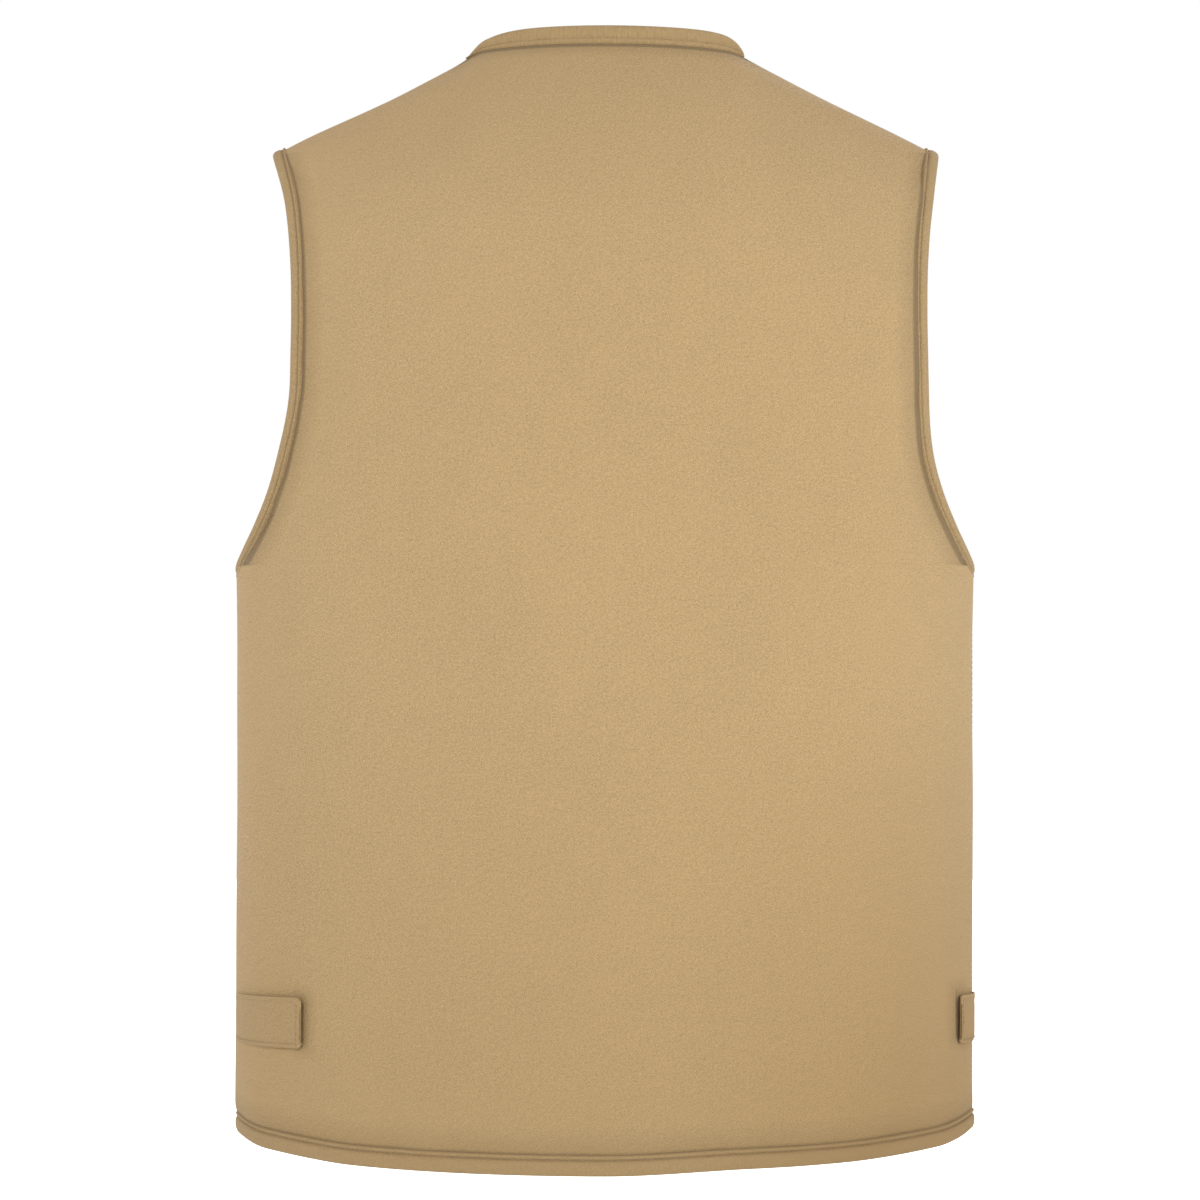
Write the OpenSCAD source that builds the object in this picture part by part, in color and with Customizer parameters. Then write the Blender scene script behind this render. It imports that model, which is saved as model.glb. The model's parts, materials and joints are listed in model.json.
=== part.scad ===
// Fishing vest: a sleeveless cotton twill vest with a plain one-piece back, a bound
// neck, bound armholes and hem, pocketed fronts with a separating zip, and a
// hook-and-loop tab at each side of the waist.
//
// The wearer faces -Y, so the back of the vest faces +Y and the wearer's left is +X.
// The origin is where the wearer's shoulders hold it up: on the middle line, level
// with the points where the shoulder seams meet the neck. Heights in the source are
// measured upwards from the hem, and from_hem() moves them into this frame.

/* [Body] */
// Half of the width across the vest, side seam to middle
half_width = 217; // [170:1:270]
// Height from the hem to the point where the shoulder seam meets the neck
neck_height = 639; // [520:1:780]
// Distance from the side seams to the middle of the back
back_depth = 135; // [90:1:165]
// Distance from the side seams to where the two fronts would meet
front_depth = 131; // [100:1:165]
// How square the back is round the body, where 2 is an ellipse
back_squareness = 2; // [2:0.05:3]
// Angle by which each front turns back from the zip to the side
front_yaw = 9; // [4:0.5:14]
// Width over which each front curves round to the side seam
side_curve = 72; // [50:1:90]

/* [Neck and shoulders] */
// Half of the neck's width at the shoulder seams
neck_half = 80; // [65:1:95]
// Slope of the shoulder seams below level
shoulder_slope = 27.5; // [18:0.5:32]
// Height below the neck points at which the back stops curving over the shoulders
back_fall = 250; // [180:5:300]
// Height below the neck points of the foot of the V of the fronts
neck_drop = 209; // [150:1:240]

/* [Armholes] */
// Height of an armhole, from the underarm to the level of the neck points
armhole_depth = 304; // [240:1:350]
// Distance the back's armhole cuts in from the side seam
armhole_inset = 36.3; // [15:0.1:45]
// Distance the shoulder's tip reaches out past the armhole's narrowest level
tip_reach = 15.7; // [0:0.1:25]
// Height of the armhole's narrowest level above the underarm
narrow_rise = 120; // [90:1:180]
// How much further the front's armhole cuts in than the back's
front_scoop = 12; // [0:1:20]

/* [Cloth] */
// Thickness of the twill shell
shell_thick = 1.2; // [0.6:0.1:2.5]
// Thickness of the mesh lining
lining_thick = 0.8; // [0.5:0.1:1.5]
// Thickness of the folded binding
binding_thick = 0.9; // [0.5:0.1:1.5]
// Width of the armhole and V-neck bindings
binding_width = 7.5; // [5:0.5:14]
// Width of the hem binding
hem_width = 10; // [6:0.5:20]
// Height of the neck band above the back panel
band_rise = 8.5; // [4:0.5:20]
// Thickness of the neck band
band_thick = 3; // [2:0.1:5]

/* [Side tabs] */
// Height of a side tab
tab_height = 29; // [20:1:45]
// Height of the tabs' sewn ends above the hem
tab_level = 54; // [30:1:120]
// Rise of the left tab from its sewn end to its free end
tab_lift = 7; // [0:0.5:15]
// Way round the back that the left tab reaches, where 1 is the side seam
left_tab_reach = 0.577; // [0.4:0.005:0.9]
// Way round the back that the right tab reaches
right_tab_reach = 0.774; // [0.4:0.005:0.9]
// Thickness of a side tab and of the pocket flaps
tab_thick = 1.8; // [1:0.1:3]
// Thickness of each half of a hook-and-loop fastening
patch_thick = 1; // [0.6:0.1:2]
// Radius of a side tab's corners
tab_corner = 7; // [2:0.5:12]

/* [Zips] */
// Width of the gap between the two open halves of the front zip
front_gap = 10; // [8:0.5:20]
// Width of one row of zip teeth
row_width = 2.4; // [1.8:0.1:4]
// Thickness of the zip teeth, front to back
teeth_thick = 2.4; // [1.8:0.1:4]
// Distance from one zip tooth to the next
tooth_pitch = 3.5; // [2:0.25:5]
// Width of one zip tape past its teeth
tape_width = 12; // [8:0.5:18]
// Thickness of the zip tape
tape_thick = 0.8; // [0.5:0.1:1.2]
// Thickness of a slider's plates
plate_thick = 1.2; // [0.8:0.1:2]
// Length of a slider
slider_length = 11; // [8:0.5:16]
// Length of a slider's pull
pull_length = 26; // [15:1:45]

/* [Pockets] */
// Height of the lower pockets
lower_height = 172; // [140:1:200]
// Depth of the lower pockets
lower_depth = 20; // [14:1:35]
// Height of the lower pockets' bottoms above the hem
lower_level = 30; // [20:1:50]
// Height of the flapped pockets on the lower pockets
front_pocket_height = 96; // [70:1:110]
// Depth of the flapped pockets
flap_pocket_depth = 12; // [9:0.5:18]
// Height of the chest pockets
chest_height = 112; // [80:1:130]
// Height of the chest pockets' bottoms above the hem
chest_level = 262; // [240:1:280]
// Height of the pocket flaps below their sewn edges
flap_height = 44; // [30:1:60]
// Thickness of the pockets' cloth
pocket_thick = 1.2; // [0.8:0.1:2]
// Distance from the panel's edges to the lower pockets
pocket_margin = 8; // [5:1:15]

/* [Ring and loops] */
// Inside width of the D-ring
ring_width = 20; // [12:1:30]
// Thickness of the D-ring's wire
ring_wire = 3; // [2:0.25:4]
// Width of the tape of the hang loop
hang_tape = 7; // [5:0.5:12]

/* [Hidden] */

// Colours
twill = "#c4a57a";
bound = "#bb9c71";
mesh_cloth = "#b8a17c";
tape_cloth = "#a98c62";
patch_cloth = "#8f7853";
metal = "#8c8578";
moulded = "#6e5f48";

// Clearances: between sewn layers, between cloth and the binding folded over it, at the
// seams, between the halves of a fastening, and between parts that run or turn
sewn_gap = 0.25;
binding_gap = 0.75;
seam_gap = 0.8;
grip_gap = 0.35;
run_gap = 0.4;

// Heights above the hem and places across the vest
underarm_z = neck_height - armhole_depth;
narrow_z = underarm_z + narrow_rise;
narrow_x = half_width - armhole_inset;
tip_x = narrow_x + tip_reach;
tip_z = neck_height - (tip_x - neck_half) * tan(shoulder_slope);
back_flat_z = neck_height - back_fall;
v_foot_z = neck_height - neck_drop;
neckline_z = neck_height - 4;
flat_end = half_width - side_curve;
panel_edge = front_gap / 2 + row_width + 3;
wall_thick = shell_thick + sewn_gap + lining_thick;

// How far round a front its flat stretch goes, where 1 is the side seam
flat_share = 0.5;
// Where the panels end short of the side seam, as a way round
back_seam_way = 1 - acos_way(seam_gap / back_depth, back_squareness);
front_seam_way = 1 - acos_way(seam_gap / front_depth, 2) * (1 - flat_share);

// Rows and columns of the panels
back_columns = 24;
front_columns = 12;
low_rows = 1;
armhole_rows = 14;
shoulder_rows = 5;

function acos_way(rise, power) = asin(pow(rise, power / 2)) / 90;
function unit(v) = v / norm(v);

// Height of the shoulder seam's line over x, which a parabola carries across the neck
function ridge_z(x) = neck_height - tan(shoulder_slope) * (abs(x) > neck_half
    ? abs(x) - neck_half : (x * x - neck_half * neck_half) / (2 * neck_half));

// Share of the full depth at (x, z): 1 up to flat_z, falling to 0 at the shoulder line
function roof(x, z, flat_z) =
    let (rise = max(0, z - flat_z) / (ridge_z(x) - flat_z))
    sqrt(max(0, 1 - rise * rise));

// A point of the back at a way round it, from 0 at the middle to 1 at the left side seam
function back_point(way, z) =
    let (power = 2 / back_squareness)
    let (x = half_width * sign(way) * pow(abs(sin(90 * way)), power))
    [x, back_depth * pow(max(0, cos(90 * way)), power) * roof(x, z, back_flat_z), z];

// A point of the left front at a way round it, from 0 at the middle to 1 at the side seam
function front_point(way, z) =
    let (turn = 90 * max(0, way - flat_share) / (1 - flat_share))
    let (x = way < flat_share ? flat_end * way / flat_share : flat_end + side_curve * sin(turn))
    let (full = (front_depth - x * tan(front_yaw)) * cos(turn))
    [x, -full * roof(x, z, v_foot_z), z];

function point(face, way, z) = face == "back" ? back_point(way, z) : front_point(way, z);

// How the surface runs round the body and upwards, and its outward normal
function round_step(face, way, z) =
    let (step = 0.002, high = min(1, way + step))
    (point(face, high, z) - point(face, way - step, z)) / (high - way + step);
function up_step(face, way, z) = (point(face, way, z) - point(face, way, z - 0.5)) / 0.5;
function normal(face, way, z) =
    let (across = round_step(face, way, z), up = up_step(face, way, z))
    unit(face == "back" ? cross(up, across) : cross(across, up));
function raised(face, way, z, rise) = point(face, way, z) + rise * normal(face, way, z);

// The way round at which each face reaches x
function back_way(x) = asin(pow(min(1, x / half_width), back_squareness / 2)) / 90;
function front_way(x) = x < flat_end ? flat_share * x / flat_end
    : flat_share + (1 - flat_share) * asin(min(1, (x - flat_end) / side_curve)) / 90;

// Where the armhole and shoulder edges lie at height z
function back_edge_x(z) = z <= underarm_z ? half_width
    : z <= narrow_z ? narrow_x + armhole_inset * pow((narrow_z - z) / narrow_rise, 2.6)
    : z <= tip_z ? narrow_x + tip_reach * pow((z - narrow_z) / (tip_z - narrow_z), 2.8)
    : neck_half + (neck_height - z) / tan(shoulder_slope);
// Where the shoulder seam ends a face short of the other face by the seam's gap
function shoulder_x(z, depth, flat_z) =
    let (ridge = flat_z + (z - flat_z) / sqrt(1 - pow(seam_gap / depth, 2)))
    neck_half + (neck_height - ridge) / tan(shoulder_slope);
function scoop(z) = z <= underarm_z || z >= tip_z ? 0
    : front_scoop * sin(180 * (z - underarm_z) / (tip_z - underarm_z));
function v_edge_x(z) = panel_edge
    + (neck_half - panel_edge) * pow(max(0, (z - v_foot_z) / neck_drop), 1.15);

function back_end(z) = min(back_seam_way,
    back_way(min(back_edge_x(z), shoulder_x(z, back_depth, back_flat_z))));
function front_end(z) = min(front_seam_way,
    front_way(min(back_edge_x(z) - scoop(z), shoulder_x(z, front_depth, v_foot_z))));
function front_start(z) = front_way(v_edge_x(z));

// Heights of the panels' rows
low_heights = [for (i = [0:low_rows - 1]) underarm_z * i / low_rows];
armhole_heights = [for (i = [0:armhole_rows - 1])
    underarm_z + (tip_z - underarm_z) * (1 - cos(180 * i / armhole_rows)) / 2];
tip_heights = [tip_z - 0.7];
shoulder_heights = [for (i = [0:shoulder_rows]) tip_z + (neckline_z - tip_z) * i / shoulder_rows];
heights = concat(low_heights, armhole_heights, tip_heights, shoulder_heights);

function back_columns_at(z) = [for (i = [-back_columns / 2:back_columns / 2])
    back_end(z) * sin(180 * i / back_columns)];
function front_columns_at(z) = [for (i = [0:front_columns])
    front_start(z) + (front_end(z) - front_start(z)) * sin(90 * i / front_columns)];
function columns_at(face, z) = face == "back" ? back_columns_at(z) : front_columns_at(z);

// A point on the panel's own flat facets, between its rows and columns, raised off them
function mix(a, b, share) = a + (b - a) * share;
function last_up_to(list, value) =
    max([0, for (i = [0:len(list) - 2]) if (list[i] <= value + 0.000001) i]);
function share_of(list, i, value) = (value - list[i]) / (list[i + 1] - list[i]);
function laid(face, way, z, rise) =
    let (i = last_up_to(heights, z), share = share_of(heights, i, z))
    let (low = columns_at(face, heights[i]), high = columns_at(face, heights[i + 1]))
    let (here = [for (k = [0:len(low) - 1]) mix(low[k], high[k], share)])
    let (j = last_up_to(here, way), part = share_of(here, j, way))
    let (a = raised(face, low[j], heights[i], rise))
    let (b = raised(face, low[j + 1], heights[i], rise))
    let (c = raised(face, high[j + 1], heights[i + 1], rise))
    let (d = raised(face, high[j], heights[i + 1], rise))
    part >= share ? a + (b - a) * part + (c - b) * share : a + (d - a) * share + (c - d) * part;

// Closed skin between two matching grids of points, listed row by row
module skin(top, under, turned = false) {
    rows = len(top);
    cols = len(top[0]);
    function at(side, i, j) = (side * rows + i) * cols + j;
    function quad(a, b, c, d, flip) = flip ? [[a, c, b], [a, d, c]] : [[a, b, c], [a, c, d]];
    function patch(side, i, j) = quad(at(side, i, j), at(side, i, j + 1),
        at(side, i + 1, j + 1), at(side, i + 1, j), (side == 1) != turned);
    function row_wall(i, j, flip) = quad(at(0, i, j), at(1, i, j),
        at(1, i, j + 1), at(0, i, j + 1), flip != turned);
    function column_wall(i, j, flip) = quad(at(0, i, j), at(0, i + 1, j),
        at(1, i + 1, j), at(1, i, j), flip != turned);
    faces = [
        for (side = [0, 1], i = [0:rows - 2], j = [0:cols - 2]) each patch(side, i, j),
        for (j = [0:cols - 2]) each row_wall(0, j, false),
        for (j = [0:cols - 2]) each row_wall(rows - 1, j, true),
        for (i = [0:rows - 2]) each column_wall(i, 0, false),
        for (i = [0:rows - 2]) each column_wall(i, cols - 1, true)
    ];
    points = [for (grid = [top, under], row = grid) each row];
    polyhedron(points, faces);
}

module from_hem() translate([0, 0, -neck_height]) children();

// Builds its children for the wearer's left, or mirrored for the wearer's right
module on_side(side) mirror([side == "right" ? 1 : 0, 0, 0]) from_hem() children();

// A layer of cloth over a whole panel, from one depth under the outer face to another
module layer(face, from_depth, to_depth) {
    function grid(depth) = [for (z = heights) [for (way = columns_at(face, z))
        raised(face, way, z, -depth)]];
    skin(grid(from_depth), grid(to_depth), face == "front");
}

// Binding folded over an edge. The edge is a list of [way, z], and inward is +1 where
// the cloth lies to the left of the edge's direction, seen from outside.
module binding(face, edge, inward, width, turned) {
    last = len(edge) - 1;
    function along(k) =
        let (a = edge[max(0, k - 1)], b = edge[min(last, k + 1)])
        unit(point(face, b[0], b[1]) - point(face, a[0], a[1]));
    function lead(k) = unit(cross(normal(face, edge[k][0], edge[k][1]), along(k))) * inward;
    // Square to the edge where the cloth is upright, and along the panel's rows above that
    function inner(k) =
        let (way = edge[k][0], z = edge[k][1], go = lead(k), across = round_step(face, way, z))
        z <= (face == "back" ? back_flat_z : v_foot_z)
            ? [way + width * (go[0] * across[0] + go[1] * across[1]) / (across * across),
                z + width * go[2]]
            : [way + width / (across * go), z];
    function fold(k, out) =
        let (rim = edge[k], in = inner(k), half = (rim + in) / 2, under = -wall_thick - out)
        [
            laid(face, in[0], in[1], out),
            laid(face, half[0], half[1], out),
            laid(face, rim[0], rim[1], out) - out * lead(k),
            laid(face, rim[0], rim[1], under) - out * lead(k),
            laid(face, half[0], half[1], under),
            laid(face, in[0], in[1], under)
        ];
    outer = [for (k = [0:last]) fold(k, binding_gap + binding_thick)];
    lining = [for (k = [0:last]) fold(k, binding_gap)];
    skin(outer, lining, turned);
}

// ---- The back

module back_panel() color(twill) from_hem() layer("back", 0, shell_thick);

module back_lining() color(mesh_cloth) from_hem()
    layer("back", shell_thick + sewn_gap, wall_thick);

module back_hem_binding() color(bound) from_hem()
    binding("back", [for (way = back_columns_at(0)) [way, 0]], -1, hem_width, false);

// An armhole's edge along the panel's own rows, with points between them round the underarm
function end_way(face, z) = face == "back" ? back_end(z) : front_end(z);
function armhole_edge(face) =
    let (rows = concat(armhole_heights, tip_heights, [tip_z]), between = 4, near_tip = 0.8)
    let (on = function (i, share) [mix(end_way(face, rows[i]), end_way(face, rows[i + 1]), share),
        mix(rows[i], rows[i + 1], share)])
    let (last = len(rows) - 2)
    concat([for (i = [0:last]) for (k = [0:(rows[i] < narrow_z ? between - 1 : 0)])
        on(i, k / between)], [on(last, near_tip)]);

module back_armhole_binding(side) {
    sign = side == "left" ? 1 : -1;
    color(bound) from_hem() binding("back",
        [for (at = armhole_edge("back")) [sign * at[0], at[1]]], -sign, binding_width, sign < 0);
}

module neck_band() {
    steps = 26;
    lean = 0.25;
    half_span = neck_half - 2;
    function stand(x) = band_rise * pow(max(0, 1 - pow(abs(x) / half_span, 6)), 0.5) + 1.5;
    function base(x) = let (way = sign(x) * back_way(abs(x))) back_point(way, neckline_z);
    function side(i, out, up) =
        let (x = half_span * sin(180 * i / steps), here = base(x))
        let (away = unit([x / half_span, here[1] / base(0)[1] + 0.05, 0]))
        here + out * away + [0, -lean * up * stand(x), sewn_gap + up * stand(x)];
    // A reversed pair of faces, each two points high
    function face(out) = [for (i = [-steps / 2:steps / 2]) [side(i, out, 0), side(i, out, 1)]];
    color(bound) from_hem() skin(face(band_thick / 2 - wall_thick / 2),
        face(-band_thick / 2 - wall_thick / 2), true);
}

// The tape loop inside the back of the neck bows forward, so a hook can pass behind it
module hang_loop() {
    half_span = 26;
    bow = 13;
    tape = 1.2;
    level = neck_height - 22;
    top = level + hang_tape;
    root_way = back_way(half_span);
    // The cloth leans forward here, so its thickness is measured level, not square to it
    level_wall = (wall_thick + seam_gap) * norm(up_step("back", root_way, top));
    root_y = laid("back", root_way, top, 0)[1] - level_wall;
    function curve(rise) = [for (i = [-10:10])
        [half_span * i / 10, root_y - bow * pow(cos(9 * i), 2) - rise]];
    color(tape_cloth) from_hem() translate([0, 0, level]) linear_extrude(hang_tape)
        polygon(concat(curve(0), [for (i = [20:-1:0]) curve(tape)[i]]));
}

module neck_label() {
    width = 46;
    drop = 24;
    level = neck_height - 56;
    function grid(depth) = [for (i = [0:2]) [for (j = [-2:2])
        laid("back", back_way(abs(j) * width / 4) * sign(j), level + drop * i / 2, -depth)]];
    top = wall_thick + 0.9;
    color("#d8ccb0") from_hem() skin(grid(top), grid(top + 0.6));
}

// ---- Side tabs: a strip over the back from the side seam to the tab's round end

tab_rise = patch_thick * 2 + 2 * sewn_gap + grip_gap;
tab_root_way = back_seam_way - 0.02;

module tab_strip(from_way, to_way, low, high, from_rise, to_rise, corner) {
    steps = 14;
    reach = norm(back_point(from_way, 0) - back_point(to_way, 0));
    function along(i) = sin(90 * i / steps);
    function tuck(i) = let (left = reach * (1 - along(i)))
        left >= corner ? 0 : corner - sqrt(max(0.04, corner * corner - pow(corner - left, 2)));
    function lift(way) = tab_lift * (tab_root_way - way) / (tab_root_way - left_tab_reach);
    function grid(rise) = [for (i = [0:steps]) let (way = from_way + (to_way - from_way) * along(i))
        [for (share = [0, 0.5, 1]) raised("back", way,
            low + lift(way) + tuck(i) + share * (high - low - 2 * tuck(i)), rise)]];
    skin(grid(to_rise), grid(from_rise), false);
}

function tab_end(side) = side == "left" ? left_tab_reach : right_tab_reach;
function patch_start(side) = tab_end(side) + (tab_root_way - tab_end(side)) * 0.6;

module side_tab(side) color(twill) on_side(side)
    tab_strip(tab_root_way, tab_end(side), tab_level, tab_level + tab_height,
        tab_rise, tab_rise + tab_thick, tab_corner);

module tab_patch(side, low_rise) {
    inset = 3;
    color(patch_cloth) on_side(side) tab_strip(patch_start(side), tab_end(side) + 0.015,
        tab_level + inset, tab_level + tab_height - inset, low_rise, low_rise + patch_thick, 4);
}
module tab_loop_patch(side) tab_patch(side, sewn_gap);
module tab_hook_patch(side) tab_patch(side, tab_rise - sewn_gap - patch_thick);

// ---- The fronts

module front_panel(side) color(twill) on_side(side) layer("front", 0, shell_thick);

module front_lining(side) color(mesh_cloth) on_side(side)
    layer("front", shell_thick + sewn_gap, wall_thick);

module front_armhole_binding(side) color(bound) on_side(side)
    binding("front", armhole_edge("front"), 1, binding_width, true);

module front_hem_binding(side) color(bound) on_side(side)
    binding("front", [for (way = front_columns_at(0)) [way, 0]], 1, hem_width, true);

// The V's edge is sampled at the panel's rows, between its foot and the neck band
module v_neck_binding(side) {
    low = v_foot_z + 2;
    top = neckline_z - 3;
    rows = [for (z = heights) if (z > low + 3 && z < top - 3) z];
    color(bound) on_side(side) binding("front",
        [for (z = concat([low], rows, [top])) [front_start(z), z]], -1, binding_width, false);
}

// Moves its children onto the flat stretch of the left front: x runs along it from the
// middle towards the side, z up from the hem, and -y outwards
module on_front(side) on_side(side) translate([0, -front_depth, 0]) rotate([0, 0, front_yaw])
    children();

// Extrudes a flat outline drawn in x and z outwards, from one rise to another
module outwards(from_rise, to_rise) translate([0, -from_rise, 0]) rotate([90, 0, 0])
    linear_extrude(to_rise - from_rise) children();

// A strip drawn in the y and z plane and extruded along x
module strip_along(x, width) translate([x, 0, 0]) rotate([90, 0, 90]) linear_extrude(width)
    children();

function mitred(width, height, cut) =
    [[0, cut], [cut, 0], [width - cut, 0], [width, cut], [width, height], [0, height]];

// ---- Front zip

zip_low = 4;
zip_high = v_foot_z - 8;
tape_start = front_gap / 2 + row_width - 0.6;
tape_rise = -wall_thick - binding_gap - binding_thick - sewn_gap - tape_thick;
teeth_rise = tape_rise + tape_thick / 2 - teeth_thick / 2;

// The tape is sewn to the inside of the front's edge, over the hem binding
module zip_tape(side) color(tape_cloth) on_front(side)
    translate([tape_start, -tape_rise - tape_thick, zip_low])
    cube([tape_width, tape_thick, zip_high - zip_low]);

// A comb of teeth, with its back along x = 0 and its teeth towards -x
module teeth_comb(length) {
    spine = row_width * 0.4;
    count = floor(length / tooth_pitch);
    tips = [for (i = [0:count - 1]) each [
        [-spine, (i + 0.15) * tooth_pitch], [-row_width, (i + 0.15) * tooth_pitch],
        [-row_width, (i + 0.6) * tooth_pitch], [-spine, (i + 0.6) * tooth_pitch]
    ]];
    polygon(concat([[0, 0], [-spine, 0]], tips, [[-spine, length], [0, length]]));
}

module zip_teeth(side) {
    pin_length = 9;
    start = zip_low + pin_length;
    color(moulded) on_front(side) {
        translate([tape_start - sewn_gap / 2, 0, start])
            outwards(teeth_rise, teeth_rise + teeth_thick) teeth_comb(zip_high - start);
        // The pin or box at the foot of the row
        translate([tape_start - row_width - sewn_gap / 2, 0, zip_low])
            outwards(teeth_rise, teeth_rise + teeth_thick)
            square([row_width, pin_length - sewn_gap]);
    }
}

// A slider on a row of teeth along z, with lugs that carry the pull's pin. Its middle is
// on x = 0 and its back plate's outer face on y = 0.
slider_half = row_width + 2.2;
channel = teeth_thick + 2 * run_gap;
lug_rise = channel + 2 * plate_thick;
pin_radius = 0.8;
eye_radius = 2.1;
pin_rise = lug_rise + eye_radius + run_gap;
lug_depth = pin_rise + 1.4 - lug_rise + 0.2;

module slider_body(post_width) {
    lug_x = 2.4;
    for (rise = [0, plate_thick + channel]) translate([-slider_half, -rise - plate_thick, 0])
        cube([2 * slider_half, plate_thick, slider_length]);
    translate([-post_width / 2, -plate_thick - channel - 0.1, 0])
        cube([post_width, channel + 0.2, slider_length]);
    for (x = [-lug_x - 1, lug_x]) translate([x, -pin_rise - 1.4, slider_length * 0.5 - 1.4])
        cube([1, lug_depth, 2.8]);
    translate([-lug_x - 0.5, -pin_rise, slider_length * 0.5]) rotate([0, 90, 0])
        cylinder(r = pin_radius, h = 2 * lug_x + 1, $fn = 24);
}

// A pull that hangs from its pin, whose axis is x through the origin
module pull_body() {
    width = 3.6;
    thick = 1.6;
    color(metal) difference() {
        union() {
            translate([-width / 2, 0, 0]) rotate([0, 90, 0])
                cylinder(r = eye_radius, h = width, $fn = 32);
            translate([-width / 2, -thick / 2 - 0.4, -8]) cube([width, thick, 8]);
            translate([0, -0.4, 0]) outwards(-thick / 2, thick / 2) polygon([
                [-width / 2, -7.5], [-width, -10], [-width, -pull_length + 2],
                [-width + 2, -pull_length], [width - 2, -pull_length],
                [width, -pull_length + 2], [width, -10], [width / 2, -7.5]
            ]);
        }
        translate([-width, 0, 0]) rotate([0, 90, 0])
            cylinder(r = pin_radius + 0.3, h = 2 * width, $fn = 24);
    }
}

// The front zip's slider stays on the right row and rests on the box at its foot
post_width = 0.9;
main_slider_x = tape_start - sewn_gap / 2 - row_width - run_gap / 2 - post_width / 2;
main_slider_z = zip_low + 9 + run_gap;
back_plate_rise = teeth_rise - run_gap - plate_thick;

module main_slider() color(metal) on_front("right")
    translate([main_slider_x, -back_plate_rise, main_slider_z]) slider_body(post_width);

module main_pull() on_front("right")
    translate([main_slider_x, -back_plate_rise - pin_rise, main_slider_z + slider_length * 0.5])
    pull_body();

// ---- Lower pockets, with a zip across the front near the top

lower_start = panel_edge + pocket_margin + 4;
lower_width = flat_end - pocket_margin - lower_start;
lower_top = lower_level + lower_height;
slot_half = slider_half + 0.8;
slot_z = lower_top - 20;
zip_inset = 10;
mitre = 14;

module lower_pocket(side) color(twill) on_front(side) difference() {
    translate([lower_start, 0, lower_level]) outwards(sewn_gap, lower_depth)
        polygon(mitred(lower_width, lower_height, mitre));
    translate([lower_start + pocket_thick, 0, lower_level + pocket_thick])
        outwards(0, lower_depth - pocket_thick)
        polygon(mitred(lower_width - 2 * pocket_thick, lower_height - 2 * pocket_thick, mitre));
    translate([lower_start + zip_inset, 0, slot_z - slot_half])
        outwards(0, lower_depth + 1) square([lower_width - 2 * zip_inset, 2 * slot_half]);
}

pocket_zip_rise = lower_depth + sewn_gap;
pocket_teeth_rise = pocket_zip_rise + tape_thick / 2 - teeth_thick / 2;
row_gap = post_width + run_gap;
pocket_tape = slot_half + 4.5 - row_gap / 2 - row_width;

module pocket_zip_tape(side) {
    length = lower_width - 2 * zip_inset + 10;
    color(tape_cloth) on_front(side) for (up = [0, 1])
        translate([lower_start + zip_inset - 5, 0, slot_z]) mirror([0, 0, up])
        translate([0, -pocket_zip_rise - tape_thick, row_gap / 2 + row_width + sewn_gap / 2])
        cube([length, tape_thick, pocket_tape]);
}

module pocket_zip_teeth(side) {
    length = lower_width - 2 * zip_inset - 2;
    color(moulded) on_front(side) for (up = [0, 1])
        translate([lower_start + zip_inset + 1, 0, slot_z]) mirror([0, 0, up])
        translate([0, 0, row_gap / 2 + row_width]) outwards(pocket_teeth_rise,
            pocket_teeth_rise + teeth_thick) rotate(90) mirror([0, 1]) teeth_comb(length);
}

// The pocket slider lies along x, with its lugs and pull turned to hang down
pocket_slider_x = lower_start + zip_inset + 1;
pocket_slider_rise = pocket_teeth_rise - run_gap - plate_thick;

module pocket_slider(side) {
    lug_z = 2.6;
    color(metal) on_front(side) translate([pocket_slider_x, -pocket_slider_rise, slot_z]) {
        for (rise = [0, plate_thick + channel])
            translate([0, -rise - plate_thick, -slider_half])
            cube([slider_length, plate_thick, 2 * slider_half]);
        translate([0, -plate_thick - channel - 0.1, -post_width / 2])
            cube([slider_length, channel + 0.2, post_width]);
        for (x = [-lug_z - 1, lug_z])
            translate([x + slider_length / 2, -pin_rise - 1.4, -1.4]) cube([1, lug_depth, 2.8]);
        translate([slider_length / 2 - lug_z - 0.5, -pin_rise, 0]) rotate([0, 90, 0])
            cylinder(r = pin_radius, h = 2 * lug_z + 1, $fn = 24);
    }
}

module pocket_pull(side) on_front(side)
    translate([pocket_slider_x + slider_length / 2, -pocket_slider_rise - pin_rise, slot_z])
    pull_body();

// ---- Flapped pockets: an open-topped patch pocket, its flap, and the fastening between

module patch_pocket(x, z, width, height, rise) {
    color(twill) difference() {
        translate([x, 0, z]) outwards(rise + sewn_gap, rise + flap_pocket_depth)
            polygon(mitred(width, height, mitre / 2));
        translate([x + pocket_thick, 0, z + pocket_thick])
            outwards(rise, rise + flap_pocket_depth - pocket_thick)
            polygon(mitred(width - 2 * pocket_thick, height, mitre / 2));
    }
}

// The flap is sewn to the cloth above the pocket's mouth and falls over its front
sew_rise = 7;
fold_gap = 2.5;
flap_over = 3;
module flap(x, sew_z, width, rise) {
    out = rise + flap_pocket_depth + tab_rise;
    start = rise + sewn_gap;
    shoulder_z = sew_z - sew_rise + fold_gap;
    color(twill) strip_along(x - flap_over, width + 2 * flap_over) polygon([
        [-start, sew_z], [-start, sew_z - tab_thick], [-out, shoulder_z - tab_thick],
        [-out, sew_z - flap_height], [-out - tab_thick, sew_z - flap_height],
        [-out - tab_thick, shoulder_z], [-start - 1, sew_z]
    ]);
}

module fastening(x, sew_z, width, low_rise) {
    patch_width = 34;
    patch_height = 16;
    color(patch_cloth)
        translate([x + width / 2 - patch_width / 2, 0, sew_z - flap_height + 5])
        outwards(low_rise, low_rise + patch_thick) square([patch_width, patch_height]);
}

// Chest pockets on the panel
chest_start = panel_edge + 34;
chest_width = flat_end - pocket_margin - chest_start;
chest_sew = chest_level + chest_height + sew_rise;

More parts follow.
